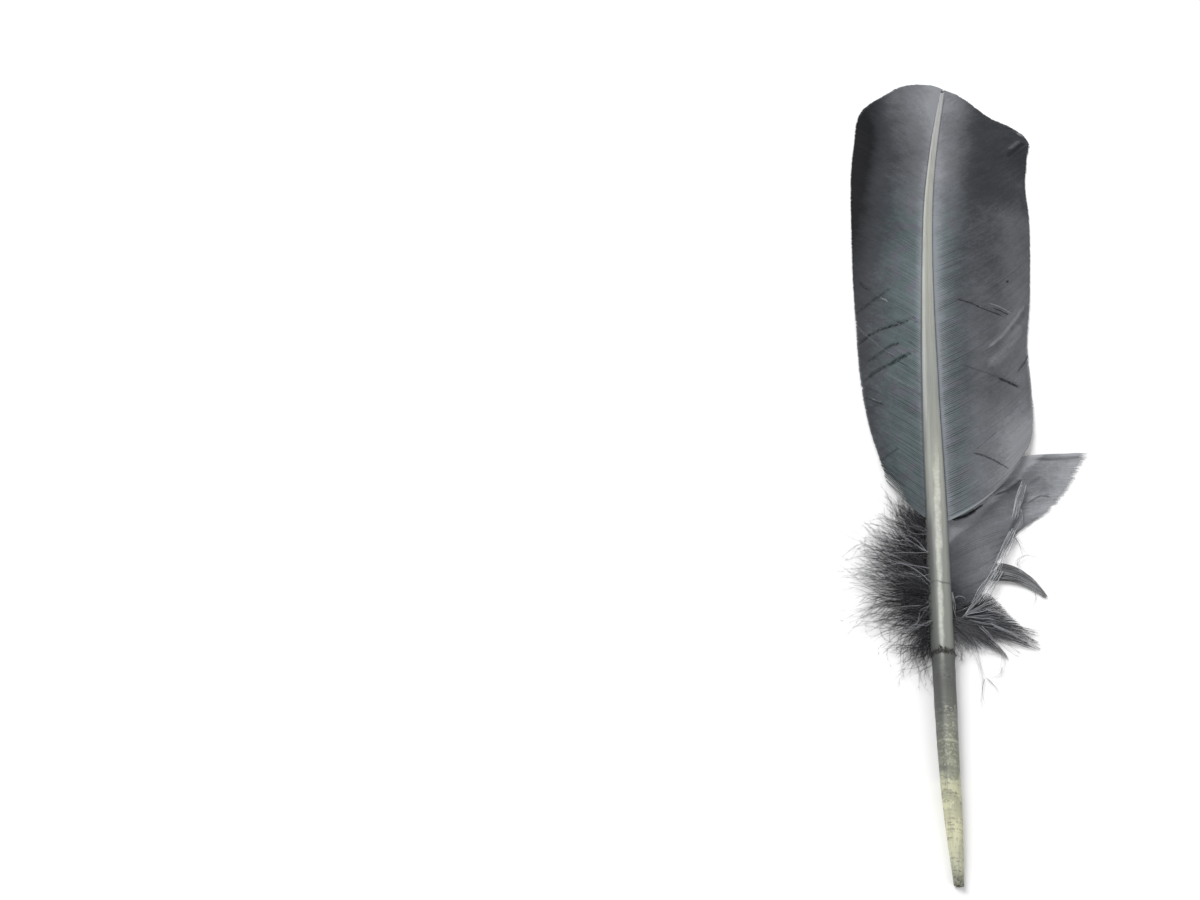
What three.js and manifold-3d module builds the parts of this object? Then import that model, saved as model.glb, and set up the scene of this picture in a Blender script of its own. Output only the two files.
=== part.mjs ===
// A grey wing quill feather, lying on its underside with its quill end at -Y and its tip at +Y.
// Millimetres, +Z up. The origin is on the surface that it lies on, below the middle of its outline.
import * as THREE from 'three';
import { mergeVertices } from 'three/addons/utils/BufferGeometryUtils.js';
import Module from 'manifold-3d';

// Shaft: half-widths along the quill and the rachis, and the low arch that it stands in
const QUILL_END_Y = -147.2;
const SHAFT_TIP_Y = 144.8;
const SHAFT_LINE = [[-4.7, QUILL_END_Y], [-6.8, -120], [-8.3, -85], [-10, -48], [-12.2, 0], [-12.5, 50],
  [-11.4, 82], [-8.8, 111], [-4, SHAFT_TIP_Y]];
const SHAFT_HALF_WIDTHS = [[QUILL_END_Y, 1.25], [-135, 2.1], [-116, 2.7], [-92, 3.05], [-50, 3.2], [0, 2.75],
  [50, 1.9], [80, 1.65], [110, 1.2], [SHAFT_TIP_Y, 0.35]];
const SHAFT_SIDES = 12;
const SHAFT_STEPS = 38;
const ARCH_START_Y = -92;
const ARCH_END_Y = 150;
const ARCH_HEIGHT = 5;
const END_PIT_RADIUS = 0.75;
const END_PIT_DEPTH = 3;

// Vanes: barbs leave the shaft at an angle, bend once and end on the margin, from the lowest barb to the tip.
// The sweep carries the ends of the middle barbs towards the tip.
const VANE_THICKNESS = 0.7;
const VANE_COLUMNS = 7;
const ROWS_PER_LOCK = 3;
const LOCK_NOTCH = 0.7;
const LOCK_RIDGE = 0.35;
const SEAM_GAP = 0.3;
const CROWN_POWER = 2.2;
const HANG_POWER = 3;
const crowned = (out) => 1 - out ** CROWN_POWER;
const hanging = (out) => (1 - out) ** HANG_POWER;
const LEFT_VANE = {
  side: -1,
  rows: 60,
  root: [-44, 143.5],
  rootHeight: 1.35,
  margin: [[-23.1, -32], [-29.3, -11.8], [-32.5, 6.6], [-34.1, 24.1], [-36.9, 68], [-37.2, 109],
    [-34.1, 130.4], [-26.6, 138.8], [-18.6, 145.5], [-13, 146.8], [-5.6, 145.6]],
  angles: [57, 28],
  turnFrom: 0.7,
  bends: [0.5, 0.5],
  sweep: 0,
  marginLift: 0,
  fall: crowned,
};
const RIGHT_VANE = {
  side: 1,
  rows: 60,
  root: [-46, 143.5],
  rootHeight: 1.35,
  margin: [[17.2, -17.2], [19.3, -13], [21.2, -2.3], [21.6, 9.4], [21.1, 23.7], [23.2, 50], [24.5, 86],
    [24, 100], [25.2, 112], [25.8, 122.4], [21.4, 127.5], [13.4, 131.9], [7.1, 137.6], [0, 143.4],
    [-3.2, 145.2]],
  angles: [58, 28],
  turnFrom: 0.7,
  bends: [0.5, 0.5],
  sweep: 0.08,
  marginLift: 2.2,
  fall: crowned,
};
const TORN_PANEL = {
  side: 1,
  rows: 16,
  root: [-68.5, -44.2],
  rootHeight: 0.8,
  margin: [[2.2, -68.6], [7.1, -57.6], [14.3, -43.9], [24.6, -34.4], [32.3, -23.2], [37.2, -13]],
  angles: [70, 29.5],
  turnFrom: 0,
  bends: [0.5, 0.7],
  sweep: 0,
  marginLift: 0,
  fall: hanging,
};
// The margin is lifted along this share of the vane, above the lowest barb.
const LIFTED_SHARE = 0.12;

// Locks: the pointed one that stands off the torn panel, and the downy ones at the foot of the vanes
const LOCK_SIDES = 8;
const LOCK_STEPS = 6;
const LOCK_FULLNESS = 1.2;
const POINTED_LOCK = {
  from: [5, -54.5],
  bend: [15.5, -56],
  tip: [21.9, -63.6],
  height: 1,
  width: 2.5,
  thickness: 0.6,
};
const DOWN_ROOT_DEPTH = 0.6;
const DOWN_WIDTH = 2.5;
const DOWN_THICKNESS = 0.9;
const LEFT_DOWN = [
  { root: -49, bend: [-17, -47], tip: [-25.5, -38], height: 1 },
  { root: -52.5, bend: [-18, -50.5], tip: [-28, -41.5], height: 2 },
  { root: -56, bend: [-18.5, -53], tip: [-30, -45], height: 1 },
  { root: -59.5, bend: [-20, -55], tip: [-32, -49.5], height: 1.8 },
  { root: -62.5, bend: [-23, -56], tip: [-33.5, -55], height: 2.2 },
  { root: -65.5, bend: [-22, -60], tip: [-36, -64], height: 1.2 },
  { root: -68.5, bend: [-24, -65], tip: [-36, -72.5], height: 2.6 },
  { root: -71.5, bend: [-21, -69], tip: [-33, -79], height: 1 },
  { root: -74.5, bend: [-21, -74], tip: [-29, -85], height: 2.2 },
  { root: -77.5, bend: [-17, -78], tip: [-25, -90], height: 1 },
  { root: -80.5, bend: [-15, -83], tip: [-20, -95], height: 1.8 },
  { root: -83.5, bend: [-12.5, -89], tip: [-14, -101], height: 1 },
];
const RIGHT_DOWN = [
  { root: -73.2, bend: [5, -63.5], tip: [19, -75.5], height: 2.4 },
  { root: -75, bend: [8, -69.5], tip: [19.6, -79.8], height: 1.2 },
  { root: -76.8, bend: [5, -74], tip: [14.5, -81], height: 2.2 },
  { root: -78.6, bend: [3.5, -77], tip: [10.4, -84.2], height: 1 },
  { root: -80.4, bend: [1, -80], tip: [7.6, -89], height: 1.8 },
  { root: -82.2, bend: [0, -85], tip: [7.2, -95.4], height: 1 },
  { root: -84, bend: [-1, -90], tip: [2.8, -100], height: 1.2 },
];

const FINISHES = {
  shaft: { color: 0xb9bbb0, roughness: 0.42, metalness: 0 },
  vane: { color: 0x5c5f66, roughness: 0.72, metalness: 0 },
  down: { color: 0x3f4146, roughness: 0.95, metalness: 0 },
};

const wasm = await Module();
wasm.setup();

const { lerp, clamp, smoothstep, degToRad } = THREE.MathUtils;
const JOIN_DISTANCE = 1e-4;
const BISECTIONS = 30;
const UP = new THREE.Vector3(0, 0, 1);
const shaftLine = new THREE.SplineCurve(SHAFT_LINE.map(([x, y]) => new THREE.Vector2(y, x)));
const shaftHalfWidths = new THREE.SplineCurve(SHAFT_HALF_WIDTHS.map(([y, w]) => new THREE.Vector2(y, w)));

// Reads a curve that runs along Y at the given y.
function readAt(curve, y) {
  let low = 0;
  let high = 1;
  for (let step = 0; step < BISECTIONS; step += 1) {
    const middle = (low + high) / 2;
    if (curve.getPoint(middle).x < y) low = middle;
    else high = middle;
  }
  return curve.getPoint((low + high) / 2).y;
}

const shaftX = (y) => readAt(shaftLine, y);
const halfWidth = (y) => readAt(shaftHalfWidths, y);

// Height of the shaft's underside: flat along the quill, then a low arch to the tip.
function archLift(y) {
  const along = clamp((y - ARCH_START_Y) / (ARCH_END_Y - ARCH_START_Y), 0, 1);
  return ARCH_HEIGHT * Math.sin(Math.PI * along) ** 2;
}

// The flat facet under the shaft is this share of the half-width below its middle.
const FACET_DROP = Math.cos(Math.PI / SHAFT_SIDES);
const shaftMiddleZ = (y) => archLift(y) + FACET_DROP * halfWidth(y);

// Moves every vertex of a geometry by a function, and joins the vertices that then share a place.
function deform(geometry, move) {
  const position = geometry.getAttribute('position');
  const point = new THREE.Vector3();
  for (let i = 0; i < position.count; i += 1) {
    move(point.fromBufferAttribute(position, i));
    position.setXYZ(i, point.x, point.y, point.z);
  }
  geometry.deleteAttribute('normal');
  geometry.deleteAttribute('uv');
  const joined = mergeVertices(geometry, JOIN_DISTANCE);
  joined.computeVertexNormals();
  return joined;
}

function solidFrom(geometry) {
  const bare = geometry.clone();
  bare.deleteAttribute('normal');
  const merged = mergeVertices(bare, JOIN_DISTANCE);
  const vertProperties = merged.getAttribute('position').array;
  const triVerts = new Uint32Array(merged.index.array);
  return new wasm.Manifold(new wasm.Mesh({ numProp: 3, vertProperties, triVerts }));
}

function geometryFrom(solid) {
  const { vertProperties, triVerts } = solid.getMesh();
  const geometry = new THREE.BufferGeometry();
  geometry.setAttribute('position', new THREE.BufferAttribute(vertProperties, 3));
  geometry.setIndex(new THREE.BufferAttribute(triVerts, 1));
  geometry.computeVertexNormals();
  return geometry;
}

// Joins geometries that overlap into one solid.
function fuse(geometries) {
  return geometries.map(solidFrom).reduce((whole, solid) => whole.add(solid));
}

// Quill and rachis: one turned form with a pit in its end, laid along the shaft's line.
// The clearance makes it stouter, for what has to stay clear of it.
function shaftGeometry(clearance = 0) {
  const pitFloor = QUILL_END_Y + END_PIT_DEPTH;
  const profile = [new THREE.Vector2(0, pitFloor), new THREE.Vector2(END_PIT_RADIUS, pitFloor)];
  profile.push(new THREE.Vector2(END_PIT_RADIUS, QUILL_END_Y));
  for (let step = 0; step <= SHAFT_STEPS; step += 1) {
    const y = lerp(QUILL_END_Y, SHAFT_TIP_Y, step / SHAFT_STEPS);
    profile.push(new THREE.Vector2(halfWidth(y) + clearance, y));
  }
  profile.push(new THREE.Vector2(0, SHAFT_TIP_Y));
  const turned = new THREE.LatheGeometry(profile, SHAFT_SIDES, Math.PI / SHAFT_SIDES);
  return deform(turned, (p) => {
    p.x += shaftX(p.y);
    p.z += shaftMiddleZ(p.y);
  });
}

// A vane is a thin closed sheet whose rows follow the barbs, from the shaft's side to the margin.
// Every other row is a ridge, and the margin is notched between locks.
function vaneGeometry(vane) {
  const { side, rows, root, rootHeight, margin, angles, turnFrom, bends, sweep, marginLift, fall } = vane;
  const marginCurve = new THREE.SplineCurve(margin.map(([x, y]) => new THREE.Vector2(x, y)));
  const barbs = [];
  for (let row = 0; row <= rows; row += 1) {
    const along = row / rows;
    const rootY = lerp(root[0], root[1], along);
    const from = new THREE.Vector2(shaftX(rootY) + side * (halfWidth(rootY) + SEAM_GAP), rootY);
    const to = marginCurve.getPointAt(along + sweep * Math.sin(Math.PI * along));
    const between = row > 0 && row < rows && row % ROWS_PER_LOCK === 0;
    const reach = from.distanceTo(to);
    to.lerp(from, between ? LOCK_NOTCH / reach : 0);
    const turned = smoothstep(along, turnFrom, 1);
    const angle = degToRad(lerp(angles[0], angles[1], turned));
    const bend = new THREE.Vector2(side * Math.sin(angle), Math.cos(angle));
    bend.multiplyScalar(lerp(bends[0], bends[1], turned) * reach).add(from);
    barbs.push({
      line: new THREE.QuadraticBezierCurve(from, bend, to),
      rootZ: archLift(rootY) + rootHeight * halfWidth(rootY),
      endZ: marginLift * (1 - smoothstep(along, 0, LIFTED_SHARE)),
      ridge: row % 2 ? LOCK_RIDGE : 0,
    });
  }
  const sheet = new THREE.BoxGeometry(1, 1, 1, rows, VANE_COLUMNS, 1);
  return deform(sheet, (p) => {
    const { line, rootZ, endZ, ridge } = barbs[Math.round((0.5 - side * p.x) * rows)];
    const out = p.y + 0.5;
    const place = line.getPoint(out);
    const underside = lerp(endZ, rootZ, fall(out));
    const thickness = VANE_THICKNESS + ridge * Math.sin(Math.PI * out);
    p.set(place.x, place.y, underside + (p.z > 0 ? thickness : 0));
  });
}

// A lock of barbs: a flat, tapering leaf along a bent line.
function lockGeometry(line, width, thickness) {
  const horn = new THREE.ConeGeometry(1, 1, LOCK_SIDES, LOCK_STEPS);
  const across = new THREE.Vector3();
  return deform(horn, (p) => {
    const along = p.y + 0.5;
    const place = line.getPoint(along);
    across.crossVectors(line.getTangent(along), UP).normalize();
    const sideways = p.x * width * (1 + LOCK_FULLNESS * along);
    p.set(place.x + across.x * sideways, place.y + across.y * sideways, place.z + p.z * thickness);
  });
}

function pointedLockGeometry({ from, bend, tip, height, width, thickness }) {
  const corners = [from, bend, tip].map(([x, y]) => new THREE.Vector3(x, y, height));
  return lockGeometry(new THREE.QuadraticBezierCurve3(...corners), width, thickness);
}

// Down: locks that grow from the shaft's side and curve to their tips, fused at their roots.
function downGeometry(side, locks) {
  const shapes = locks.map(({ root, bend, tip, height }) => {
    const rootZ = shaftMiddleZ(root);
    const from = new THREE.Vector3(shaftX(root) + side * DOWN_ROOT_DEPTH * halfWidth(root), root, rootZ);
    const middle = new THREE.Vector3(bend[0], bend[1], (rootZ + height) / 2);
    const to = new THREE.Vector3(tip[0], tip[1], height);
    return lockGeometry(new THREE.QuadraticBezierCurve3(from, middle, to), DOWN_WIDTH, DOWN_THICKNESS);
  });
  return geometryFrom(fuse(shapes).subtract(solidFrom(shaftGeometry(SEAM_GAP))));
}

function piece(name, geometry, finish) {
  const mesh = new THREE.Mesh(geometry, new THREE.MeshStandardMaterial(finish));
  mesh.name = name;
  return mesh;
}

const tornPanel = fuse([vaneGeometry(TORN_PANEL), pointedLockGeometry(POINTED_LOCK)]);
const feather = new THREE.Group();
feather.add(piece('shaft', shaftGeometry(), FINISHES.shaft));
feather.add(piece('left_vane', vaneGeometry(LEFT_VANE), FINISHES.vane));
feather.add(piece('right_vane', vaneGeometry(RIGHT_VANE), FINISHES.vane));
feather.add(piece('torn_panel', geometryFrom(tornPanel), FINISHES.vane));
feather.add(piece('left_down', downGeometry(-1, LEFT_DOWN), FINISHES.down));
feather.add(piece('right_down', downGeometry(1, RIGHT_DOWN), FINISHES.down));

export default feather;
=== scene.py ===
"""A grey wing quill feather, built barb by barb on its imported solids.

The feather lies on a pale floor with its quill end at -Y and its tip at +Y. Lengths are millimetres until a
mesh is made, and colours are sRGB values out of 255 until a shader takes them.
"""

import logging
import math
from collections.abc import Sequence
from dataclasses import dataclass
from enum import Enum
from functools import reduce

import bpy
import numpy as np
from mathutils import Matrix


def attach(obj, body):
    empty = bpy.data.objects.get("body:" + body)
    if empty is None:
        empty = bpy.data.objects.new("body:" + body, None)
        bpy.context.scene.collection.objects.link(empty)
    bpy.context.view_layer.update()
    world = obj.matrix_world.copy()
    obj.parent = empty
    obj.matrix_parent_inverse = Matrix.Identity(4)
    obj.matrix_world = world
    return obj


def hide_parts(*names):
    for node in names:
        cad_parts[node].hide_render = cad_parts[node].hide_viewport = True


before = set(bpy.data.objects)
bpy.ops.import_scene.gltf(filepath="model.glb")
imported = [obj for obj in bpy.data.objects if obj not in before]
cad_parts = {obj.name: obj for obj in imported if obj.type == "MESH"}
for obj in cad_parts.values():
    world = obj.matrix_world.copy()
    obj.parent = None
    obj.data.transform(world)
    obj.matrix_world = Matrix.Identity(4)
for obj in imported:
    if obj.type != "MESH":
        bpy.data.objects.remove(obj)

LOG = logging.getLogger("feather")
MM = 0.001
BODY = "root"
BAKE_MAP = "OFBake"
BARB_DATA = "barb"
SPOT_DATA = "spot"
UP = (0.0, 0.0, 1.0)
# The shaft and the strands keep this far off the floor
FLOOR_GAP = 0.02
# Random phases run over this many radians, a little more than a turn
PHASE_SPAN = 6.3
Array = np.ndarray
Colour = tuple[float, float, float]
Pair = tuple[float, float]
Point = tuple[float, float]
Line = tuple[Point, ...]


class Side(Enum):
    """Which side of the shaft a piece grows from."""

    LEFT = -1
    RIGHT = 1


class Hang(Enum):
    """How a vane falls from the shaft to the floor: late, near its margin, or at once."""

    CROWNED = "crowned"
    DRAPED = "draped"


class Mark(Enum):
    """Whether a line on a vane is painted shade, darker than the barbs round it, or a painted highlight,
    paler than them.
    """

    PAINTED_SHADE = "dark"
    PAINTED_HIGHLIGHT = "pale"


class Slot(Enum):
    """The record's material slots."""

    SHAFT = "shaft_keratin"
    VANE = "vane_barbs"
    DOWN = "down_fluff"


def smooth(value: Array | float, low: float, high: float) -> Array:
    """Eases from 0 at low to 1 at high.

    Args:
        value: Places to read.
        low: Where the result is 0.
        high: Where the result is 1, above or below low.

    Returns:
        The eased share, between 0 and 1.
    """
    share = np.clip((np.asarray(value, float) - low) / (high - low), 0.0, 1.0)
    return share * share * (3.0 - 2.0 * share)


def unit(vectors: Array) -> Array:
    """Vectors of length 1 in the same directions."""
    return vectors / np.maximum(np.linalg.norm(vectors, axis=-1, keepdims=True), 1e-9)


def wander(rng: np.random.Generator, places: Array, pitch: float) -> Array:
    """A smooth random line.

    Args:
        rng: Where its numbers come from.
        places: Places to read, from 0 to 1.
        pitch: Distance between its turns.

    Returns:
        Values between -1 and 1, one for each place.
    """
    knots = rng.uniform(-1.0, 1.0, int(math.ceil(1.0 / pitch)) + 2)
    steps = np.clip(np.asarray(places, float) / pitch, 0.0, len(knots) - 1.001)
    low = steps.astype(int)
    share = smooth(steps - low, 0.0, 1.0)
    return knots[low] * (1.0 - share) + knots[low + 1] * share


def bent(t: Array, first: Array, middle: Array, last: Array) -> Array:
    """Curved lines.

    Args:
        t: Places along them, from 0 to 1.
        first: Where they start.
        middle: What they bend towards.
        last: Where they end.

    Returns:
        A point for each place.
    """
    return (1 - t) ** 2 * first + 2 * t * (1 - t) * middle + t**2 * last


def stacked(shape: tuple[int, ...], *parts: Array | float) -> Array:
    """The parts side by side on a new last axis, each spread over the shape."""
    return np.stack([np.broadcast_to(part, shape) for part in parts], -1)


def spokes(turn: Array) -> Array:
    """Directions across the shaft, by their angles from the right over the top."""
    return np.stack([np.cos(turn), np.zeros_like(turn), np.sin(turn)], -1)


@dataclass(frozen=True)
class Course:
    """A smooth line through a few points, each a place and its value."""

    points: Line

    def at(self, place: Array | float) -> Array:
        """The line's value.

        Args:
            place: Places to read. Past an end, the end's value holds.

        Returns:
            One value for each place.
        """
        knots, values = np.array(self.points, float).T
        slopes = np.gradient(values, knots)
        where = np.clip(np.asarray(place, float), knots[0], knots[-1])
        low = np.clip(np.searchsorted(knots, where, side="right") - 1, 0, len(knots) - 2)
        span = knots[low + 1] - knots[low]
        t = (where - knots[low]) / span
        rise = t * t * (3.0 - 2.0 * t)
        start = t * (1.0 - t) ** 2 * span * slopes[low]
        end = t * t * (t - 1.0) * span * slopes[low + 1]
        return values[low] * (1.0 - rise) + values[low + 1] * rise + start + end


@dataclass(frozen=True)
class Outline:
    """A smooth line on the floor through a few points (x, y), read by the share of its length."""

    points: Line

    def at(self, share: Array) -> Array:
        """Places on the line.

        Args:
            share: Shares of its length, from 0 to 1.

        Returns:
            One (x, y) for each share.
        """
        corners = np.array(self.points, float)
        steps = np.linalg.norm(np.diff(corners, axis=0), axis=1)
        knots = np.concatenate([[0.0], np.cumsum(steps)]) / steps.sum()
        courses = [Course(tuple(zip(knots.tolist(), corners[:, axis].tolist()))) for axis in (0, 1)]
        return np.stack([course.at(share) for course in courses], axis=-1)


class Link:
    """A shader value that takes part in Python expressions."""

    def __init__(self, graph: "Graph", socket: bpy.types.NodeSocket) -> None:
        """Wraps an output socket of the graph."""
        self.graph = graph
        self.socket = socket

    def __add__(self, other: "Link | float") -> "Link":
        """Adds."""
        return self.graph.math("ADD", self, other)

    def __sub__(self, other: "Link | float") -> "Link":
        """Subtracts."""
        return self.graph.math("SUBTRACT", self, other)

    def __rsub__(self, other: float) -> "Link":
        """Subtracts this from a number."""
        return self.graph.math("SUBTRACT", other, self)

    def __mul__(self, other: "Link | float") -> "Link":
        """Multiplies."""
        return self.graph.math("MULTIPLY", self, other)

    def __abs__(self) -> "Link":
        """The value without its sign."""
        return self.graph.math("ABSOLUTE", self)

    __radd__ = __add__
    __rmul__ = __mul__

    def eased(self, low: float, high: float) -> "Link":
        """Eases from 0 to 1.

        Args:
            low: The value where the result is 0.
            high: The value where it is 1, above or below low.

        Returns:
            The eased share.
        """
        settings = {"interpolation_type": "SMOOTHSTEP", "clamp": True}
        sockets = {"Value": self, "From Min": min(low, high), "From Max": max(low, high)}
        eased = self.graph.link("ShaderNodeMapRange", settings, sockets, "Result")
        return eased if low < high else 1.0 - eased


Input = Link | float | tuple[float, ...]


def most(*values: Link) -> Link:
    """The greatest of some values."""
    return reduce(lambda first, second: first.graph.math("MAXIMUM", first, second), values)


def linear(colour: Colour) -> tuple[float, float, float, float]:
    """Turns a colour into what a shader takes.

    Args:
        colour: sRGB values out of 255.

    Returns:
        Linear RGBA.
    """
    shares = [c / 255.0 for c in colour]
    parts = [s / 12.92 if s <= 0.04045 else ((s + 0.055) / 1.055) ** 2.4 for s in shares]
    return (parts[0], parts[1], parts[2], 1.0)


class Graph:
    """One material's shader nodes."""

    def __init__(self, name: str) -> None:
        """Makes an empty node material.

        Args:
            name: The material's name.
        """
        self.material = bpy.data.materials.new(name)
        self.material.use_nodes = True
        self.tree = self.material.node_tree
        self.tree.nodes.clear()

    def node(self, kind: str, settings: dict[str, object], sockets: dict[str | int, Input]) -> bpy.types.Node:
        """Adds a node.

        Args:
            kind: Its type.
            settings: Its properties, set first. A ramp's "stops" are (place, colour) pairs.
            sockets: The value or link of each input, by name or number.

        Returns:
            The new node.
        """
        made = self.tree.nodes.new(kind)
        for key, value in settings.items():
            if key == "stops":
                self._set_stops(made.color_ramp, value)
            else:
                setattr(made, key, value)
        for key, value in sockets.items():
            if isinstance(value, Link):
                self.tree.links.new(value.socket, made.inputs[key])
            else:
                made.inputs[key].default_value = value
        return made

    @staticmethod
    def _set_stops(ramp: bpy.types.ColorRamp, stops: Sequence[tuple[float, Colour]]) -> None:
        """Gives a ramp its stops.

        Args:
            ramp: The ramp.
            stops: Places and sRGB colours, in order.
        """
        while len(ramp.elements) < len(stops):
            ramp.elements.new(1.0)
        for element, (place, colour) in zip(ramp.elements, stops):
            element.position = place
            element.color = linear(colour)

    def link(
        self, kind: str, settings: dict[str, object], sockets: dict[str | int, Input], output: str | int = 0
    ) -> Link:
        """Adds a node and gives one of its outputs.

        Args:
            kind: Its type.
            settings: Its properties.
            sockets: The value or link of each input.
            output: The output's name or number.

        Returns:
            That output as a link.
        """
        return Link(self, self.node(kind, settings, sockets).outputs[output])

    def math(self, operation: str, *values: "Link | float") -> Link:
        """Adds a Math node on these values."""
        return self.link("ShaderNodeMath", {"operation": operation}, dict(enumerate(values)))

    def vector_math(self, operation: str, sockets: dict[str | int, Input], output: str = "Vector") -> Link:
        """Adds a Vector Math node."""
        return self.link("ShaderNodeVectorMath", {"operation": operation}, sockets, output)

    def mix(self, factor: Input, first: Input, second: Input, blend: str = "MIX") -> Link:
        """Mixes two colours by a factor.

        Args:
            factor: 0 for the first colour, 1 for the second.
            first: A colour or a link.
            second: A colour or a link.
            blend: The blend type.

        Returns:
            The mixed colour.
        """
        settings = {"data_type": "RGBA", "blend_type": blend, "clamp_factor": True}
        return self.link("ShaderNodeMix", settings, {0: factor, 6: first, 7: second}, 2)

    def layered(self, colour: Link, layers: Sequence[tuple[Link, Colour]]) -> Link:
        """Lays tints over a colour.

        Args:
            colour: The colour below them.
            layers: The mask and the sRGB colour of each tint, from the lowest.

        Returns:
            The tinted colour.
        """
        for mask, tint in layers:
            colour = self.mix(mask, colour, linear(tint))
        return colour

    def ramp(self, factor: Link, stops: Sequence[tuple[float, Colour]]) -> Link:
        """The colour of a ramp with these stops at a factor."""
        return self.link("ShaderNodeValToRGB", {"stops": stops}, {"Fac": factor}, "Color")

    def vector(self, x: Input, y: Input, z: Input) -> Link:
        """Joins three values to a vector."""
        return self.link("ShaderNodeCombineXYZ", {}, {0: x, 1: y, 2: z})

    def split(self, vector: Link) -> tuple[Link, Link, Link]:
        """The three values of a vector."""
        parts = self.node("ShaderNodeSeparateXYZ", {}, {0: vector}).outputs
        return Link(self, parts[0]), Link(self, parts[1]), Link(self, parts[2])

    def place(self) -> tuple[Link, Link, Link]:
        """The place on the object, as x, y and z in millimetres."""
        x, y, z = self.split(self.link("ShaderNodeTexCoord", {}, {}, "Object"))
        return x * (1.0 / MM), y * (1.0 / MM), z * (1.0 / MM)

    def attribute(self, name: str) -> tuple[Link, Link, Link]:
        """The three values of a mesh's vector attribute."""
        return self.split(self.link("ShaderNodeAttribute", {"attribute_name": name}, {}, "Vector"))

    def noise(self, vector: Link, scale: float, detail: float = 2.0, roughness: float = 0.5) -> Link:
        """Adds noise, from 0 to 1, at a scale of the vector."""
        sockets = {"Vector": vector, "Scale": scale, "Detail": detail, "Roughness": roughness}
        return self.link("ShaderNodeTexNoise", {}, sockets, "Fac")

    def bump(self, height: Link, distance: float, strength: float) -> Link:
        """A bumped normal, for a height from 0 to 1 over a distance in millimetres."""
        sockets = {"Height": height, "Distance": distance * MM, "Strength": strength}
        return self.link("ShaderNodeBump", {}, sockets, "Normal")

    def surface(self, sockets: dict[str | int, Input]) -> bpy.types.Material:
        """Ends the material in a Principled shader.

        Args:
            sockets: Its values and links.

        Returns:
            The finished material.
        """
        shader = self.link("ShaderNodeBsdfPrincipled", {}, sockets, "BSDF")
        self.node("ShaderNodeOutputMaterial", {}, {"Surface": shader})
        return self.material


@dataclass(frozen=True)
class Crease:
    """A line on a vane, where barbs are pressed, bent or unzipped; its dark mark is painted shade and its
    pale mark a painted highlight.

    It thins out over a share of its first and last run. Its mask is whole near the line and has ended a
    little past its half-width, at the shares of the half-width below.
    """

    THINNING = 0.45
    WHOLE = 0.2
    ENDED = 1.6

    points: Line
    half_width: float
    depth: float
    mark: Mark = Mark.PAINTED_SHADE

    def mask(self, spot: Link) -> Link:
        """How far a place lies in the crease.

        Args:
            spot: The place, as a vector.

        Returns:
            0 away from the crease, up to its depth in the middle of it.
        """
        runs = list(zip(self.points, self.points[1:]))
        ended = self.half_width * self.ENDED
        masks = []
        for number, (start, end) in enumerate(runs):
            gap, share = self._gap(spot, start, end)
            if number == 0:
                gap = gap + share.eased(self.THINNING, 0.0) * ended
            if number == len(runs) - 1:
                gap = gap + share.eased(1.0 - self.THINNING, 1.0) * ended
            masks.append(gap.eased(ended, self.half_width * self.WHOLE))
        return most(*masks) * self.depth

    @staticmethod
    def _gap(spot: Link, start: Point, end: Point) -> tuple[Link, Link]:
        """How far a place lies from one straight run of the line.

        Args:
            spot: The place, as a vector.
            start: Where the run starts.
            end: Where it ends.

        Returns:
            The distance, and the share of the run at its nearest point.
        """
        graph = spot.graph
        run = np.subtract(end, start)
        scaled = (run / (run @ run)).tolist()
        away = graph.vector_math("SUBTRACT", {0: spot, 1: (*start, 0.0)})
        passed = graph.vector_math("DOT_PRODUCT", {0: away, 1: (*scaled, 0.0)}, "Value")
        share = graph.math("MAXIMUM", graph.math("MINIMUM", passed, 1.0), 0.0)
        foot = graph.vector_math("SCALE", {0: (*run.tolist(), 0.0), "Scale": share})
        gap = graph.vector_math("DISTANCE", {0: away, 1: foot}, "Value")
        return gap, share


class VaneGrain:
    """What a vane's finish reads: the place on a barb and on the vane, and the noises there."""

    def __init__(self, graph: Graph, barb_rows: float) -> None:
        """Reads the mesh's layers and adds the noises.

        Args:
            graph: The material's nodes.
            barb_rows: How many rows the grain has along the vane.
        """
        self.graph = graph
        self.along, self.out, self.web = graph.attribute(BARB_DATA)
        self.aside, self.chance, self.seam = graph.attribute(SPOT_DATA)
        self.x, self.y, _ = graph.place()
        self.rows = self.along * barb_rows
        self.strip = self.out.eased(0.14, 0.02)
        self.fine = graph.noise(graph.vector(self.rows, self.out * 24.0, 0.0), 0.9, 3.0, 0.65)
        self.locks = graph.noise(graph.vector(self.rows * 0.28, self.out * 6.0, 3.7), 1.0, 4.0, 0.6)
        self.clouds = graph.noise(graph.vector(self.x, self.y, 0.0), 0.07, 3.0)
        self.patches = graph.noise(graph.vector(self.x, self.y, 5.0), 0.2, 2.0)
        self.suede = graph.noise(graph.vector(self.x, self.y, 9.0), 1.4, 4.0, 0.75)


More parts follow.
